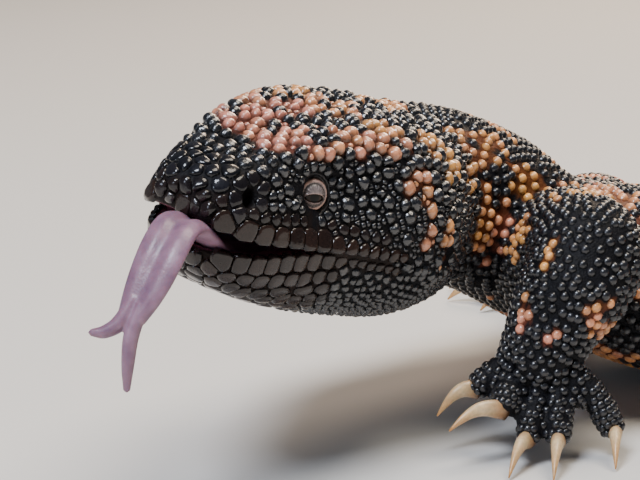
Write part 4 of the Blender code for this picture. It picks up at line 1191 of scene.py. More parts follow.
def bead_object(name, seeds, material, tree):
    """Beads over the seeds, by Geometry Nodes, as one plain mesh that rides on the animal."""
    mesh = bpy.data.meshes.new(name)
    mesh.vertices.add(len(seeds.place))
    mesh.vertices.foreach_set("co", ((seeds.place + SHIFT) * MM).astype(np.float32).ravel())
    put_attribute(mesh, "facing", seeds.normal, "FLOAT_VECTOR")
    put_attribute(mesh, "lie", seeds.lie, "FLOAT_VECTOR")
    put_attribute(mesh, "half", seeds.half * (1, 1, 1 / 0.7) * MM, "FLOAT_VECTOR")
    put_attribute(mesh, "root", np.c_[seeds.root, np.zeros(len(seeds.root))], "FLOAT_VECTOR")
    put_attribute(mesh, "tint", np.c_[seeds.tint, np.ones(len(seeds.tint))], "FLOAT_COLOR")
    obj = new_object(name, mesh)
    modifier = obj.modifiers.new("beads", "NODES")
    modifier.node_group = tree
    plain_mesh(obj)
    for spare in ("local", "half", "root", "facing", "lie"):
        attribute = obj.data.attributes.get(spare)
        if attribute:
            obj.data.attributes.remove(attribute)
    points = points_of(obj.data)
    points[:, 2] = np.maximum(points[:, 2], 0.04)
    put_points(obj.data, points)
    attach(obj, "root")
    return obj


# Pieces


MADE = {}


def lip_line(u, lower):
    """Height of the upper or the lower lip's edge in the head's frame."""
    us = [s[0] for s in HEAD_SECTIONS][::-1]
    edge = np.interp(u, us, [s[5 if lower else 4][1] for s in HEAD_SECTIONS][::-1])
    if lower:
        return jaw_turn(u, edge + 0.45)[1]
    return edge - 0.45


def lips_meet(u):
    """Height of the line midway between the lips."""
    return 0.5 * float(lip_line(u, True) + lip_line(u, False))


def mouth_slab():
    """The open part of the mouth as a slab across the head."""
    us = np.linspace(-2.0, MOUTH_OPEN_U, 18)
    upper = [(u, float(lip_line(max(u, 0), False)) + 0.35) for u in us]
    lower = [(u, float(lip_line(max(u, 0), True)) - 0.35) for u in us]
    corner = (MOUTH_OPEN_U + 1.2, lips_meet(MOUTH_OPEN_U + 1.2))
    return slab_mesh("mouth", [(-8, upper[0][1]), *upper, corner, *lower[::-1], (-8, lower[0][1])], 40)


def lip_crease():
    """The line along which the closed lips meet, from the open part of the mouth to its corner."""
    us = [s[0] for s in HEAD_SECTIONS][::-1]
    outs = [s[4][0] for s in HEAD_SECTIONS][::-1]
    return [(u, float(np.interp(u, us, outs)), lips_meet(u)) for u in np.linspace(MOUTH_OPEN_U, MOUTH_CORNER_U, 8)]


def eye_axes(side):
    """Outward, forward and up directions of an eye, which looks out and a little forward."""
    forward, left, up = -HEAD_AXES[:, 0], HEAD_AXES[:, 1] * side, HEAD_AXES[:, 2]
    outward = unit(left + 0.68 * forward + 0.15 * up)
    along = unit(forward - (forward @ outward) * outward)
    return outward, along, np.cross(along, outward) * side


def fold_depth(points):
    """How deep the neck's folds and the closed lips' line draw the skin in at each point."""
    local = in_head(points)
    local[:, 1] = np.abs(local[:, 1])
    depth = np.zeros(len(points))
    for line, half_width, deep in (*NECK_FOLDS, (lip_crease(), 0.55, 0.9)):
        depth += deep * np.exp(-((distance_to_line(local, line) / half_width) ** 2))
    return depth


def digit_creases(points):
    """How deep the creases that part the digits over the back of each foot draw the skin in."""
    depth = np.zeros(len(points))
    for name, (knuckles, half_width, digits) in FEET.items():
        centre, wrist = np.array(knuckles, float), np.array(LIMBS[name][-1][:3], float)
        across = unit((np.subtract(digits[-1][0], digits[0][0])) * (1, 1, 0.35))
        toes = unit(centre - wrist)
        top = unit(np.cross(across, toes))
        top = top * np.sign(top[2])
        near = np.where(np.linalg.norm(points - centre, axis=1) < CREASE_REACH)[0]
        for i in range(4):
            middle = centre + across * half_width * TOE_SPREAD * ((i + 0.5) / 2 - 1) + top * PALM_THICKNESS * 0.8
            line = (middle + toes * 4.0, middle - toes * CREASE_LENGTH)
            away = distance_to_line(points[near], line) / CREASE_HALF_WIDTH
            depth[near] += CREASE_DEPTH * np.exp(-(away**2))
    return depth


def make_skin(sizes):
    """One skin over trunk, legs and feet, with mouth, nostrils, ears and eye sockets, folds and lining."""
    depth = sizes.coat_depth / MM
    trunk = trunk_loft()
    base = loft_mesh("skin", trunk, 0.5, trunk.length - 0.4, 1.6, 88, -depth, (0.5, 0.6))
    obj = new_object("skin", base)
    whole = BVHTree.FromObject(obj, bpy.context.evaluated_depsgraph_get())
    pieces, feet = [], {}
    for name, stations in LIMBS.items():
        limb = Loft(limb_rings(stations))
        pieces.append(loft_mesh(name, limb, 0, limb.length, 1.6, 36, -depth * 0.85))
        stub, palm, digits = foot_lofts(name, depth * 0.8)
        feet[name] = (limb, stub, palm, digits)
        pieces.append(loft_mesh("stub", stub, 0, stub.length, 1.2, 28, 0, (0, 0.8)))
        pieces.append(loft_mesh("palm", palm, 0, palm.length, 1.2, 32, 0, (0.8, 1.0)))
        pieces += [loft_mesh("digit", d, 0, d.length, 0.8, 20, 0, (0.3, 0.5)) for d in digits]
    combine(obj, pieces, "UNION")
    axes = HEAD_AXES.T
    cuts = [
        mouth_slab(),
        ball_mesh("palate", head_point(15.5, 0, lip_line(15, False) + 0.2), axes, (13.5, 8.6, 2.6)),
        ball_mesh("mouth_floor", head_point(16.5, 0, lip_line(16, True) - 0.2), axes, (13.0, 8.4, 3.0)),
        loft_mesh("tongue_bed", tongue_loft(), 0, tongue_loft().length, 1.0, 40, 0.2),
    ]
    nostrils = []
    for side in (1, -1):
        place = head_point(EYE_AT[0], EYE_AT[1] * side, EYE_AT[2])
        cuts.append(ball_mesh("socket", place, np.eye(3), [EYE_RADIUS + 0.1] * 3))
        place, normal = nearest_on(whole, head_point(NOSTRIL_AT[0], NOSTRIL_AT[1] * side, NOSTRIL_AT[2]))
        back = unit(HEAD_AXES[:, 0] - (HEAD_AXES[:, 0] @ normal) * normal)
        rise = np.cross(normal, back) * side
        slanted = unit(rise + 0.25 * back), unit(back - 0.25 * rise)
        cuts.append(ball_mesh("nostril", place, (slanted[1], normal, slanted[0]), NOSTRIL_RADII))
        nostrils.append(place)
        ear = head_point(EAR_AT[0], (EAR_AT[1] - 0.3) * side, EAR_AT[2])
        cuts.append(ball_mesh("ear", ear, axes, (0.8, 1.7, 2.6)))
    combine(obj, cuts, "DIFFERENCE")
    remesh(obj, sizes.skin_voxel / MM, 4, 190000)
    points, normals = points_of(obj.data), normals_of(obj.data)
    local = in_head(points)
    in_jaws = (local[:, 0] < MOUTH_CORNER_U + 2) & (np.abs(local[:, 1]) < 22) & (local[:, 2] > -16)
    deep = np.zeros(len(points))
    for i in np.where(in_jaws)[0]:
        deep[i] = whole.find_nearest(Vector((points[i] + SHIFT) * MM))[3] / MM
    away = np.min([np.linalg.norm(points - n, axis=1) for n in nostrils], axis=0)
    lids = head_point(EYE_AT[0], EYE_AT[1], EYE_AT[2]), head_point(EYE_AT[0], -EYE_AT[1], EYE_AT[2])
    eyes = np.min([np.linalg.norm(points - e, axis=1) for e in lids], axis=0)
    lining = smoothstep(0.35, 0.9, deep) * (away > 4.3) * (eyes > EYE_RADIUS + 0.6)
    put_attribute(obj.data, "mouth", lining, "FLOAT")
    # Painted shade: a mask that darkens the skin in and round each nostril's hole.
    MADE["pit"] = np.exp(-((away / 1.5) ** 4))
    rim = 0.3 * np.exp(-(((away - 1.9) / 0.55) ** 2)) * (deep < 0.3)
    points = points - normals * (fold_depth(points) + digit_creases(points) - rim)[:, None]
    points[:, 2] = np.maximum(points[:, 2], 0.15)
    put_points(obj.data, points)
    MADE.update(
        skin=obj, trunk=trunk, feet=feet, nostrils=nostrils,
        tree=BVHTree.FromObject(obj, bpy.context.evaluated_depsgraph_get()), whole=whole,
    )
    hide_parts(*FLESH)
    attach(obj, "root")


def nearest_on(tree, point):
    """The nearest place of a surface to a point, and its outward normal."""
    place, normal, _, _ = tree.find_nearest(Vector((point + SHIFT) * MM))
    return np.array(place) / MM - SHIFT, np.array(normal)


def paint_skin():
    """The skin takes a darker shade of the nearest bead's colour, painted shade in the nostrils, and the lining's mark
    inside the mouth.
    """
    seeds = MADE["all_seeds"]
    tree = KDTree(len(seeds.place))
    for i, place in enumerate(seeds.place):
        tree.insert(Vector(place), i)
    tree.balance()
    mesh = MADE["skin"].data
    points = points_of(mesh)
    nearest = np.array([tree.find(Vector(p))[1] for p in points])
    tint = seeds.tint[nearest]
    tint = np.where(tint.sum(axis=1, keepdims=True) > 0.3, tint * (0.15, 0.1, 0.09), tint * 0.6)
    # Painted shade in the nostrils: the skin there goes nearly black.
    tint = tint * (1 - 0.95 * MADE["pit"][:, None])
    put_attribute(mesh, "tint", np.c_[tint, np.ones(len(tint))], "FLOAT_COLOR")
    give(MADE["skin"], hide_material())


def head_region(local):
    """For places on the head: the scales' half width, height, flatness, brown and share of granules, by region."""
    u, out, z = local[:, 0], np.abs(local[:, 1]), local[:, 2]
    upper, lower = lip_line(u, False), lip_line(u, True)
    crown = smoothstep(9.0, 12.0, z + 0.05 * u)
    cheek = smoothstep(11.0, 15.0, u) * (1 - crown) * (z > upper)
    half = (1.0 + 0.16 * crown + 0.2 * cheek) * (1 + 0.11 * wander(local, 4.5, 12))
    high = 0.74 + 0.3 * crown + 0.14 * cheek
    flat = 1.8 + 0.5 * crown - 0.25 * cheek
    brown = np.zeros(len(u))
    snout = smoothstep(11.0, 5.5, u) * smoothstep(0.5, 2.5, z - upper)
    half = half + 0.2 * snout
    high = high - 0.26 * snout * (1 - 0.4 * crown)
    flat = flat + 1.9 * snout
    under = z < lower
    chin = under * smoothstep(28.0, 22.0, u) * smoothstep(-14.5, -9.5, z + 0.06 * u)
    half = np.where(under, 0.86, half)
    half = half + 0.55 * chin
    high = np.where(under, 0.5, high)
    flat = flat + 3.5 * chin
    brown = np.maximum(brown, chin)
    throat = smoothstep(-4.0, -9.0, z) * smoothstep(20.0, 32.0, u)
    half = half - 0.26 * throat
    near_lip = smoothstep(6.0, 4.0, np.abs(z - upper)) * (z > upper - 0.5) * smoothstep(26.0, 18.0, u)
    brown = np.maximum(brown, 0.55 * near_lip)
    granular = (cheek + 0.3 * crown * smoothstep(9.0, 13.0, u)) * (1 - near_lip)
    return half, high, flat, brown, granular


def on_head(trunk, u, side, z):
    """The place on the closed head's form at u and height z, on one side."""
    ring = trunk.circle(trunk.length - u, 360, -0.4)
    local = in_head(ring)
    chosen = np.where((local[:, 1] * side > 0) & (local[:, 2] > -30))[0]
    return ring[chosen[np.argmin(np.abs(local[chosen, 2] - z))]]


def lip_rows(trunk):
    """Seeds of the plates along both lips, and of the smaller ones in the rows next to them.

    Each seed is its place, half size, height, flatness and share of brown.
    """
    seeds, second_rows = [], []
    for side in (1, -1):
        for lower in (False, True):
            toward = -1 if lower else 1
            u = 2.6 if lower else 1.9
            while u < MOUTH_CORNER_U + 0.3:
                shrink = float(smoothstep(17, 27, u))
                first = (1.42 - 0.46 * shrink) if lower else (1.5 - 0.42 * shrink)
                edge = float(lip_line(u, lower))
                flat = 9.0 - 5.4 * shrink
                seeds.append((on_head(trunk, u, side, edge + toward * first), first, 0.38 + 0.16 * shrink, flat, 0.95))
                u += 1.8 * first
            u = 2.6 if lower else 1.4
            while u < (24.0 if lower else 31.0):
                shrink = float(smoothstep(17, 27, u))
                first = (1.42 - 0.46 * shrink) if lower else (1.5 - 0.42 * shrink)
                second = 1.3 - 0.3 * shrink if lower else 0.98
                z = float(lip_line(u, lower)) + toward * (2 * first + second)
                flat = 6.0 - 3.0 * shrink if lower else 3.4
                second_rows.append((on_head(trunk, u, side, z), second, 0.44, flat, 0.9 if lower else 0.6))
                u += 1.9 * second
    upper_z, lower_z = float(lip_line(0.3, False)), float(lip_line(0.3, True))
    seeds.append((head_point(0.1, 0, upper_z + 1.4), 1.4, 0.15, 7.0, 0.95))
    seeds.append((head_point(2.8, 0, lower_z - 1.2), 1.5, 0.4, 7.0, 0.95))
    return seeds, second_rows


def make_head_scales(sizes):
    """Plates along the lips, then beads and plates over the rest of the head, each shaped by its neighbours."""
    trunk, tree = MADE["trunk"], MADE["tree"]
    rng = np.random.default_rng(sizes.seed)
    end_u = HEAD_SECTIONS[0][0] + 2.0
    seeds, second_rows = lip_rows(trunk)
    ends = []
    for side in (1, -1):
        outward, along, up = eye_axes(side)
        centre = head_point(EYE_AT[0], EYE_AT[1] * side, EYE_AT[2])
        for k in range(15):
            angle = 2 * math.pi * (k + 0.3) / 15
            spot = centre + 1.6 * outward + 4.2 * (math.cos(angle) * along + math.sin(angle) * up)
            seeds.append((spot, 0.82, 0.56, 1.9, 0.0))
        ends.append((centre + 1.6 * outward, 3.0))
    for nostril in MADE["nostrils"]:
        _, normal = nearest_on(MADE["whole"], nostril)
        back = unit(HEAD_AXES[:, 0] - (HEAD_AXES[:, 0] @ normal) * normal)
        rise = unit(HEAD_AXES[:, 2] - (HEAD_AXES[:, 2] @ normal) * normal)
        for k in range(7):
            angle = 2 * math.pi * (k + 0.5) / 7
            spot = nostril + 2.45 * math.cos(angle) * back + 2.85 * math.sin(angle) * rise
            seeds.append((spot, 1.3, 0.5, 3.6, 0.25))
        ends.append((nostril + 0.5 * rise, 0.95))
        ends.append((nostril - 0.5 * rise, 0.95))
    seeds += second_rows
    rows = [np.array([s[0] for s in seeds])] + [np.array([s[k] for s in seeds], float) for k in range(1, 5)]
    apart = thin_out(rows[0], rows[1] * 1.4)
    rows = [row[apart] for row in rows]
    ends_at, ends_half = np.array([e[0] for e in ends]), np.array([e[1] for e in ends])

    samples, fine = 26000, 360
    rings = [trunk.circle(trunk.length - key / 4, fine, -0.7) for key in range(1, int(end_u * 4) + 1)]
    girths = np.array([np.linalg.norm(r - np.roll(r, 1, axis=0), axis=1).sum() for r in rings])
    keys = rng.choice(len(rings), samples, p=girths / girths.sum())
    turns = rng.integers(0, fine, samples)
    candidates = np.array([rings[k][t] for k, t in zip(keys, turns)])
    front, spread = rings[0][rng.integers(0, fine, 1200)], np.sqrt(rng.uniform(0, 1, (1200, 1)))
    candidates = np.concatenate([candidates, rings[0].mean(axis=0) * (1 - spread) + front * spread])
    places, _, near = on_form(MADE["whole"], tree, candidates, 0.6)
    places = places[near] + rng.normal(0, 0.05, (near.sum(), 3))
    local = in_head(places)
    half, high, flat, brown, granular = head_region(local)
    small = rng.uniform(size=len(places)) < 0.6 * granular
    half, high = np.where(small, 0.5, half), np.where(small, 0.34, high)
    flat = np.where(small, 2.0, flat)
    clear = np.ones(len(places), bool)
    for side in (1, -1):
        for at, wide in ((EYE_AT, 4.5), (EAR_AT, 2.0)):
            centre = head_point(at[0], at[1] * side, at[2])
            clear &= np.linalg.norm(places - centre, axis=1) > wide + half * 0.4
    for nostril in MADE["nostrils"]:
        clear &= np.linalg.norm(places - nostril, axis=1) > 3.2
    upper, lower = lip_line(local[:, 0], False), lip_line(local[:, 0], True)
    clear &= ~((local[:, 0] < MOUTH_CORNER_U) & (local[:, 2] < upper + 1.5) & (local[:, 2] > lower - 1.5))
    places, half, high, flat, brown, small = (v[clear] for v in (places, half, high, flat, brown, small))
    order = np.argsort(small, kind="stable")
    places, half, high, flat, brown = (v[order] for v in (places, half, high, flat, brown))
    keep = thin_out(
        places, half * 1.56, (np.concatenate([rows[0], ends_at]), np.concatenate([rows[1], ends_half]) * 1.56)
    )
    samples_at = places
    places, half, high, flat, brown = (v[keep] for v in (places, half, high, flat, brown))

    fixed = np.concatenate([rows[0], ends_at])
    widths = np.concatenate([half, rows[1], ends_half])
    for _ in range(3):
        every = np.concatenate([places, fixed])
        finder = KDTree(len(every))
        for i, place in enumerate(every):
            finder.insert(Vector(place), i)
        finder.balance()
        owner = np.array([
            min(finder.find_n(Vector(p), 4), key=lambda found: found[2] - widths[found[1]])[1] for p in samples_at
        ])
        weight = np.bincount(owner, minlength=len(every))[: len(places)]
        for axis in range(3):
            total = np.bincount(owner, samples_at[:, axis], len(every))[: len(places)]
            moved = total / np.maximum(weight, 1)
            places[:, axis] += np.where(weight > 0, 0.6 * (moved - places[:, axis]), 0.0)
    places, half, high, flat, brown = (
        np.concatenate([a, b]) for a, b in zip(rows, (places, half, high, flat, brown))
    )
    places, normals, near = on_form(MADE["whole"], tree, places, 0.9)
    local = in_head(places)
    high = high * rng.uniform(0.84, 1.14, len(high))
    colour = tints(places, np.full(len(places), trunk.length - 30.0), "trunk", sizes.seed + 1, 0.0)
    dark = colour.sum(axis=1) < 0.3
    plate = BROWN_PLATE * rng.uniform(0.6, 1.25, (len(places), 1))
    mix = np.where(dark, brown, 0.0)[:, None]
    colour = colour * (1 - mix) + plate * mix
    around = np.arctan2(local[:, 1], local[:, 2]) / (2 * math.pi) + 0.5
    root = np.stack([0.02 + 0.96 * (trunk.length - local[:, 0]) / (trunk.length + 8), 0.02 + 0.54 * around], axis=1)
    lie = np.repeat(HEAD_AXES[:, 0][None], len(places), axis=0)
    seeds = Seeds(places, normals, lie, np.stack([half, half, high], axis=1), colour, root).keep(near)
    flat = flat[near]
    sides = sizes.head_sides
    grooves = sizes.groove / MM * (1 - 0.8 * smoothstep(4.0, 7.0, flat))
    reach = stop_at_lips(seeds, cell_reach(seeds, ends_at, ends_half, flat, sides, grooves))
    full = (reach.mean(axis=1) > 0.7 * seeds.half[:, 0]) & (reach.min(axis=1) > 0.3 * seeds.half[:, 0])
    seeds, reach, flat = seeds.keep(full), reach[full], flat[full]
    MADE["head_seeds"] = seeds
    plates, tiny = flat > 3.3, (flat <= 3.3) & (seeds.half[:, 0] < 0.62)
    for name, chosen, slot, finish in (
        ("head_knobs", ~plates & ~tiny, "black_beaded_skin", (0.28, 0.5, 1.0, 0.16, 0.14)),
        ("head_granules", tiny, "black_beaded_skin", (0.3, 0.5, 1.0, 0.16, 0.05)),
        ("head_plates", plates, "brown_lip_plates", (0.3, 0.08, 0.75, 0.3, 0.04)),
    ):
        mesh = scale_mesh(name, seeds.keep(chosen), reach[chosen], flat[chosen], 0.55, sides)
        obj = new_object(name, mesh, bead_material(f"glossy_{name}", *finish))
        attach(obj, "root")


def make_body_beads(sizes):
    """Rows of beads over neck, body and tail, larger and flatter under the belly, and over the legs and feet."""
    trunk, tree = MADE["trunk"], MADE["tree"]
    material = bead_material("glossy_body_beads", 0.36, 0.35, 0.7, 0.12, 0.05)
    group = bead_tree(material)
    depth = sizes.coat_depth / MM
    head_start = trunk.length - HEAD_SECTIONS[0][0] - 1.2
    neck_start = head_start - 30.0

    def pitch(along):
        wide = sizes.body_pitch / MM
        return wide - 0.45 * float(smoothstep(neck_start - 20, neck_start + 12, along)) - 0.35 * float(
            smoothstep(40, 4, along)
        )

    taken = [(MADE["head_seeds"].place, MADE["head_seeds"].half[:, 0] * 1.7)]
    made = {}
    places, lies, alongs, arounds = rows_over(trunk, 1.2, head_start, pitch, depth, sizes.seed + 2)
    wide = np.array([pitch(a) for a in alongs])
    places, normals, near = on_skin(tree, places, 0.8)
    belly = smoothstep(-0.55, -0.85, normals[:, 2]) * smoothstep(head_start - 10, head_start - 40, alongs)
    half = wide[:, None] * np.stack([0.475 + 0 * belly, 0.475 + 0 * belly, 0.36 - 0.14 * belly], axis=1)
    root = np.stack([0.02 + 0.96 * alongs / (trunk.length + 8), 0.02 + 0.54 * arounds], axis=1)
    colour = tints(places, alongs, "trunk", sizes.seed + 3)
    seeds = Seeds(places, normals, lies, half, colour, root)
    keep = near.copy()
    keep[near] = thin_out(places[near], wide[near] * 0.8, taken[0])
    seeds, alongs = seeds.keep(keep), alongs[keep]
    cuts = (0.0, 70.0, VENT_ALONG, 190.0, 238.0, neck_start + 8, head_start + 1)
    names = ("tail_end_beads", "tail_beads", "hip_beads", "flank_beads", "shoulder_beads", "neck_beads")
    for name, low, high in zip(names, cuts, cuts[1:]):
        made[name] = seeds.keep((alongs >= low) & (alongs < high))
    everything = [MADE["head_seeds"], seeds]
    for k, (name, (limb, stub, palm, digits)) in enumerate(MADE["feet"].items()):
        fresh = []
        leg_pitch = sizes.leg_pitch / MM
        left_edge = 0.01 + 0.245 * k
        forms = [(limb, leg_pitch, depth * 0.85, "limb", (left_edge, 0.60, 0.20, 0.17))]
        forms.append((stub, leg_pitch * 0.95, 0.0, "foot", (left_edge, 0.78, 0.05, 0.17)))
        forms.append((palm, leg_pitch * 0.9, 0.0, "foot", (left_edge + 0.06, 0.78, 0.05, 0.17)))
        for i, digit in enumerate(digits):
            forms.append((digit, leg_pitch * 0.82, 0.0, "digit", (left_edge + 0.12 + 0.02 * i, 0.78, 0.018, 0.17)))
        for form, step, inward, part, (u0, v0, du, dv) in forms:
            close = joined([seeds.keep(alongs_near(seeds, form.rings.reshape(-1, 3))), *fresh])
            taken = close.place, close.half[:, 0] * 1.7
            if part == "digit":
                places, lies, alongs, arounds = rows_over(form, 0.4, form.length, lambda _: step, inward, sizes.seed + k)
                places, normals, near = on_skin(tree, places, 0.8)
                keep = near.copy()
                keep[near] = thin_out(places[near], np.full(near.sum(), step * 0.8), taken)
                places, normals, lies, alongs, arounds = (v[keep] for v in (places, normals, lies, alongs, arounds))
                shape = (0.5 * step, 0.53 * step, 0.22 * step)
            else:
                places, normals, lies, alongs, arounds = scattered_over(
                    form, tree, step, inward, sizes.seed + 4 + k, taken
                )
                shape = (0.58 * step, 0.56 * step, 0.38 * step)
            half = np.repeat([shape], len(places), axis=0)
            root = np.stack([u0 + du * alongs / form.length, v0 + dv * arounds], axis=1)
            colour = tints(places, alongs, "limb" if part == "limb" else "foot", sizes.seed + 20 + k)
            fresh.append(Seeds(places, normals, lies, half, colour, root))
        made[f"{name}_beads"] = joined(fresh)
        everything += fresh
    for name, some in made.items():
        bead_object(name, some, material, group)
    MADE["all_seeds"] = joined(everything)


def alongs_near(seeds, places):
    """Which seeds lie near any of the places' box."""
    low, high = places.min(axis=0) - 3, places.max(axis=0) + 3
    return ((seeds.place > low) & (seeds.place < high)).all(axis=1)


def make_eyes():
    """Eyeballs with the distance from the gaze on every point, for iris and pupil."""
    material = eye_material()
    for side, word in ((1, "left"), (-1, "right")):
        centre = head_point(EYE_AT[0], EYE_AT[1] * side, EYE_AT[2])
        mesh = ball_mesh(f"eyeball_{word}", centre, np.eye(3), [EYE_RADIUS - 0.15] * 3, 48, 32)
        gaze = unit(eye_axes(side)[0] - 0.14 * eye_axes(side)[2])
        toward = unit(points_of(mesh) - centre)
        put_attribute(mesh, "off_axis", np.arccos(np.clip(toward @ gaze, -1, 1)) / math.pi * 2, "FLOAT")
        obj = new_object(f"eyeball_{word}", mesh, material)
        obj.data.shade_smooth()
        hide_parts(f"eye_{word}")
        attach(obj, "root")


def height_over(tree, spot, outward):
    """How far a surface lies beyond a spot, along outward."""
    start, reach = Vector((spot + 8 * outward + SHIFT) * MM), 16 * MM
    distance = tree.ray_cast(start, Vector(-outward), reach)[3]
    return 8 - (8 if distance is None else distance / MM)


def make_lids():
    """Both lids of each eye as one wrinkled rim round a narrow opening, sunk in the skin all round."""
    material = lid_material()
    around, steps = 110, 44
    outer, drop = 3.6, 0.42
    # The third colour is painted shade for the grooves inside and outside the lid's rim.
    rim_colour, lid_colour, painted_crease_shade, skin_colour = (
        np.array(linear(c)) for c in ("#D8A995", "#776C69", "#1A1211", "#121114")
    )
    for side, word in ((1, "left"), (-1, "right")):
        outward, along, up = eye_axes(side)
        centre = head_point(EYE_AT[0], EYE_AT[1] * side, EYE_AT[2])
        angle = np.arange(around) * 2 * math.pi / around
        x0, y0 = 1.5 * np.cos(angle), 0.66 * np.sin(angle) - drop
        spots = centre + outer * (np.cos(angle)[:, None] * along + np.sin(angle)[:, None] * up)
        level = np.array([height_over(MADE["whole"], spot, outward) for spot in spots])
        rings, tints_here = [], []
        for k in range(steps + 1):
            t = (k / steps) ** 1.15
            x = x0 + (outer * np.cos(angle) - x0) * t
            y = y0 + (outer * np.sin(angle) - y0) * t
            radius = np.hypot(x, y)
            turn = np.arctan2(y, x)
            rho = np.hypot(x / 2.14, y / 2.12)
            ball = np.sqrt(np.maximum((EYE_RADIUS + 0.05) ** 2 - radius**2, 0.2))
            rim = np.exp(-(((rho - 1) / 0.13) ** 2))
            inner = np.exp(-(((rho - 0.78) / 0.08) ** 2))
            moat = np.exp(-(((rho - 1.25) / 0.1) ** 2))
            second = np.exp(-(((rho - 1.46) / 0.09) ** 2))
            edge = np.exp(-((t / 0.05) ** 2))
            folds = np.sin(turn * 24 + 1.5 * np.sin(5 * turn)) * smoothstep(0.35, 0.6, rho) * smoothstep(0.98, 0.8, rho)
            beads = np.sin(turn * 21 + 3 * np.floor(rho * 5)) * smoothstep(1.15, 1.4, rho)
            wane = smoothstep(2.0, outer, radius)
            bank = level + 0.5 - 1.0 * smoothstep(0.8 * outer, outer, radius)
            height = ball * (1 - wane) + wane * bank
            height = height + 0.24 * rim - 0.16 * inner - 0.12 * moat + 0.1 * second + 0.045 * folds + 0.06 * beads
            height = height + 0.1 * edge - (0.5 if k == 0 else 0.0)
            rings.append(
                centre + outward[None] * height[:, None] + along[None] * x[:, None] + up[None] * y[:, None]
            )
            tone = np.where((rho < 1)[:, None], lid_colour, skin_colour)
            # Painted light on the folds' ridges and painted shade in their hollows.
            tone = tone * (1 + 0.35 * folds[:, None])
            uneven = (0.74 + 0.26 * np.cos(turn - 5.2)) * (0.87 + 0.13 * np.sin(turn * 9))
            bright = np.exp(-(((rho - 0.98) / 0.12) ** 2))
            mix = np.clip(1.1 * bright * uneven + 0.35 * edge * (k > 0), 0, 1)[:, None]
            tone = tone * (1 - mix) + rim_colour * mix
            # Painted shade in the grooves inside and outside the rim.
            dark = np.clip(inner + 0.8 * moat, 0, 1)[:, None] * 0.8
            tints_here.append(tone * (1 - dark) + painted_crease_shade * dark)
        rings.append(centre + (rings[-1] - centre) * 0.8 - outward[None] * 0.6)
        tints_here.append(np.repeat(skin_colour[None], around, axis=0))
        rings, tints_here = np.array(rings), np.array(tints_here)
        count = len(rings)
        faces = [
            (r * around + i, r * around + (i + 1) % around, (r + 1) * around + (i + 1) % around, (r + 1) * around + i)
            for r in range(count)
            for i in range(around)
        ]
        faces = [tuple(v % (count * around) for v in face) for face in faces]
        mesh = bpy.data.meshes.new(f"lids_{word}")
        mesh.from_pydata(((rings.reshape(-1, 3) + SHIFT) * MM).tolist(), [], faces)
        faces_out(mesh)
        put_attribute(mesh, "tint", np.c_[tints_here.reshape(-1, 3), np.ones(count * around)], "FLOAT_COLOR")
        mesh.shade_smooth()
        obj = new_object(f"lids_{word}", mesh, material)
        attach(obj, "root")


def tongue_loft():
    """The tongue's form: flat, with a groove along its top that fades at the root and before the fork."""
    across = HEAD_AXES[:, 1]
    centres = [head_point(*p[:3]) for p in TONGUE_PATH]
    rings = []
    for i, (_, _, _, half_width) in enumerate(TONGUE_PATH):
        forward = unit(centres[min(i + 1, len(centres) - 1)] - centres[max(i - 1, 0)])
        normal = np.cross(forward, across)
        depth = TONGUE_GROOVE_SHOWN * math.sin(math.pi * min(max((i - 0.5) / (len(TONGUE_PATH) - 1), 0), 1)) ** 0.5
        ring = []
        for k in range(36):
            angle = 2 * math.pi * k / 36
            out = half_width * math.sin(angle)
            top = math.cos(angle) > 0
            groove = depth * math.exp(-((out / 1.1) ** 2)) * top
            ridge = 0.1 * depth * math.exp(-(((abs(out) - 1.6) / 0.7) ** 2)) * top
            height = TONGUE_HALF_THICKNESS * math.cos(angle) - groove + ridge
            ring.append(centres[i] + across * out + normal * height)
        rings.append(ring)
    return Loft(rings)


def make_tongue():
    """The flat grooved tongue with its two tines, as one wet body."""
    loft = tongue_loft()
    obj = new_object("tongue_flesh", loft_mesh("tongue_flesh", loft, 0, loft.length, 0.5, 72, 0, (0.5, 0.8)))
    tines = []
    for points in TINES:
        tine = Loft(limb_rings([(*head_point(*p[:3]), p[3]) for p in points]))
        tines.append(loft_mesh("tine", tine, 0, tine.length, 0.4, 20, 0, (0.2, 0.4)))
    combine(obj, tines, "UNION")
    remesh(obj, 0.18, 4)
    give(obj, tongue_material())
    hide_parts("tongue")
    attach(obj, "root")


def make_claws():
    """Curved horn claws, a little flattened from the sides, one piece for each foot."""
    material = claw_material()
    for name, (_, _, digits) in FEET.items():
        bm = bmesh.new()
        layer = bm.verts.layers.float.new("rise")
        for tip, claw_tip in digits:
            tip, claw_tip = np.array(tip, float), np.array(claw_tip, float)
            start = tip - unit(claw_tip - tip) * 0.5
            shares = np.linspace(0, 1, 16)
            radii = CLAW_RADIUS * np.interp(shares, (0, 0.2, 0.5, 0.8, 1.0), (1.12, 1.06, 0.8, 0.42, 0.1))
            stations = arched_stations(start, claw_tip, radii, CLAW_ARCH * 1.1)
            rings = np.array(limb_rings(stations, 18))
            middles = rings.mean(axis=1, keepdims=True)
            side = unit(np.cross(claw_tip - start, (0, 0, 1)))
            rings = rings - 0.2 * ((rings - middles) @ side)[..., None] * side
            rows = []
            for ring, share in zip(rings, shares):
                row = [bm.verts.new(Vector((p + SHIFT) * MM)) for p in ring]
                for vert in row:
                    vert[layer] = share
                rows.append(row)
            for first, second in zip(rows, rows[1:]):
                for i in range(18):
                    j = (i + 1) % 18
                    bm.faces.new((first[i], first[j], second[j], second[i]))
            bm.faces.new(rows[0])
            bm.faces.new(rows[-1])
        bmesh.ops.recalc_face_normals(bm, faces=bm.faces)
        foot = FOOT_NAMES[name]
        mesh = bpy.data.meshes.new(f"claws_{foot}")
        bm.to_mesh(mesh)
        bm.free()
        mesh.shade_smooth()
        obj = new_object(f"claws_{foot}", mesh, material)
        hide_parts(*(f"claw_{foot}_{i}" for i in range(1, 6)))
        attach(obj, "root")


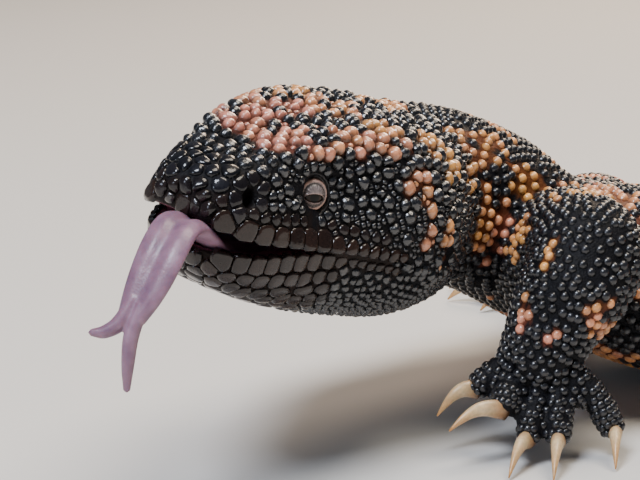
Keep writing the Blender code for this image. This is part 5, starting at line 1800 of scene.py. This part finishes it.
def make_stage(sizes):
    """A pale floor, soft lights and the camera at the photograph's place."""
    mesh = bpy.data.meshes.new("floor")
    half = 6.0
    mesh.from_pydata([(-half, -half, 0), (half, -half, 0), (half, half, 0), (-half, half, 0)], [], [(0, 1, 2, 3)])
    new_object("floor", mesh, floor_material())
    world = bpy.data.worlds.new("studio")
    world.use_nodes = True
    background = world.node_tree.nodes["Background"]
    background.inputs[0].default_value = (*linear("#C3D0E0"), 1.0)
    background.inputs[1].default_value = sizes.sky_strength
    bpy.context.scene.world = world
    head = (head_point(20, 0, 0) + SHIFT) * MM
    for name, offset, size, power, colour in (
        ("key", (-0.30, -0.42, 0.78), 0.34, sizes.key_power, "#EAF1FF"),
        ("top", (0.28, 0.05, 0.8), 0.5, sizes.key_power * 0.6, "#FFF3E2"),
        ("fill", (-0.8, -0.5, 0.3), 0.3, sizes.key_power * 0.17, "#DCE8FF"),
        ("rim", (0.45, 0.8, 0.5), 0.5, sizes.key_power * 0.6, "#FFE4C8"),
    ):
        light = bpy.data.lights.new(name, "AREA")
        light.shape = "DISK"
        light.size = size
        light.energy = power
        light.color = linear(colour)
        obj = bpy.data.objects.new(name, light)
        obj.location = Vector(head) + Vector(offset)
        obj.rotation_euler = Vector(offset).to_track_quat("Z", "Y").to_euler()
        bpy.context.scene.collection.objects.link(obj)
    turn, tilt = math.radians(CAMERA_TURN), math.radians(CAMERA_TILT)
    right = Vector((math.cos(turn), -math.sin(turn), 0))
    level = Vector((math.sin(turn), math.cos(turn), 0))
    up = level * math.sin(tilt) + Vector((0, 0, math.cos(tilt)))
    back = -level * math.cos(tilt) + Vector((0, 0, math.sin(tilt)))
    matrix = Matrix((right, up, back)).transposed().to_4x4()
    matrix.translation = Vector((np.array(CAMERA_AT) + SHIFT) * MM)
    data = bpy.data.cameras.new("photo_camera")
    data.lens, data.sensor_width = CAMERA_LENS, CAMERA_SENSOR
    data.clip_start, data.clip_end = 0.01, 50
    camera = bpy.data.objects.new("photo_camera", data)
    bpy.context.scene.collection.objects.link(camera)
    camera.matrix_world = matrix
    bpy.context.scene.camera = camera


# The add-on


class GilaSizes(bpy.types.PropertyGroup):
    coat_depth: bpy.props.FloatProperty(
        name="Coat depth", description="How far the skin lies under the tops of the beads", default=0.0007,
        unit="LENGTH",
    )
    skin_voxel: bpy.props.FloatProperty(
        name="Skin grain", description="Size of the skin's even mesh before it is thinned", default=0.0006,
        unit="LENGTH",
    )
    body_pitch: bpy.props.FloatProperty(
        name="Body bead spacing", description="Distance between beads over the back", default=0.0024, unit="LENGTH"
    )
    leg_pitch: bpy.props.FloatProperty(
        name="Leg bead spacing", description="Distance between beads over the legs", default=0.0016, unit="LENGTH"
    )
    groove: bpy.props.FloatProperty(
        name="Groove", description="Gap between neighbouring scales of the head", default=0.00016, unit="LENGTH"
    )
    head_sides: bpy.props.IntProperty(
        name="Sides", description="Sides of each scale of the head", default=12, min=6, max=24
    )
    seed: bpy.props.IntProperty(name="Seed", description="Seed of every random draw", default=7)
    key_power: bpy.props.FloatProperty(
        name="Key light", description="Power of the largest light in watts", default=11.0, subtype="POWER"
    )
    sky_strength: bpy.props.FloatProperty(
        name="Room light", description="Strength of the even light from all round", default=0.16
    )


class GILA_OT_skin(bpy.types.Operator):
    """Make the one skin with its mouth, nostrils, ears, sockets and folds"""

    bl_idname = "gila.skin"
    bl_label = "Skin"

    def execute(self, context):
        make_skin(context.scene.gila_sizes)
        return {"FINISHED"}


class GILA_OT_head_scales(bpy.types.Operator):
    """Cover the head with knobs and lip plates"""

    bl_idname = "gila.head_scales"
    bl_label = "Head scales"

    def execute(self, context):
        make_head_scales(context.scene.gila_sizes)
        return {"FINISHED"}


class GILA_OT_body_beads(bpy.types.Operator):
    """Cover neck, body, tail, legs and feet with beads, and paint the skin under them"""

    bl_idname = "gila.body_beads"
    bl_label = "Body beads"

    def execute(self, context):
        make_body_beads(context.scene.gila_sizes)
        paint_skin()
        return {"FINISHED"}


class GILA_OT_eyes(bpy.types.Operator):
    """Make the eyeballs and their lids"""

    bl_idname = "gila.eyes"
    bl_label = "Eyes and lids"

    def execute(self, context):
        make_eyes()
        make_lids()
        return {"FINISHED"}


class GILA_OT_tongue(bpy.types.Operator):
    """Make the forked tongue"""

    bl_idname = "gila.tongue"
    bl_label = "Tongue"

    def execute(self, context):
        make_tongue()
        return {"FINISHED"}


class GILA_OT_claws(bpy.types.Operator):
    """Make the claws of all four feet"""

    bl_idname = "gila.claws"
    bl_label = "Claws"

    def execute(self, context):
        make_claws()
        return {"FINISHED"}


class GILA_OT_stage(bpy.types.Operator):
    """Set floor, lights and camera"""

    bl_idname = "gila.stage"
    bl_label = "Stage"

    def execute(self, context):
        make_stage(context.scene.gila_sizes)
        return {"FINISHED"}


OPERATORS = (
    GILA_OT_skin, GILA_OT_head_scales, GILA_OT_body_beads, GILA_OT_eyes, GILA_OT_tongue, GILA_OT_claws, GILA_OT_stage
)


class GILA_PT_panel(bpy.types.Panel):
    bl_label = "Gila monster"
    bl_idname = "GILA_PT_panel"
    bl_space_type = "VIEW_3D"
    bl_region_type = "UI"
    bl_category = "Gila"

    def draw(self, context):
        sizes = context.scene.gila_sizes
        for name in GilaSizes.__annotations__:
            self.layout.prop(sizes, name)
        for operator in OPERATORS:
            self.layout.operator(operator.bl_idname)


def register():
    for part in (GilaSizes, *OPERATORS, GILA_PT_panel):
        bpy.utils.register_class(part)
    bpy.types.Scene.gila_sizes = bpy.props.PointerProperty(type=GilaSizes)


def unregister():
    del bpy.types.Scene.gila_sizes
    for part in (GILA_PT_panel, *reversed(OPERATORS), GilaSizes):
        bpy.utils.unregister_class(part)


def main():
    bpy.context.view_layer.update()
    register()
    bpy.ops.gila.skin()
    bpy.ops.gila.head_scales()
    bpy.ops.gila.body_beads()
    bpy.ops.gila.eyes()
    bpy.ops.gila.tongue()
    bpy.ops.gila.claws()
    bpy.ops.gila.stage()


if __name__ == "__main__":
    main()
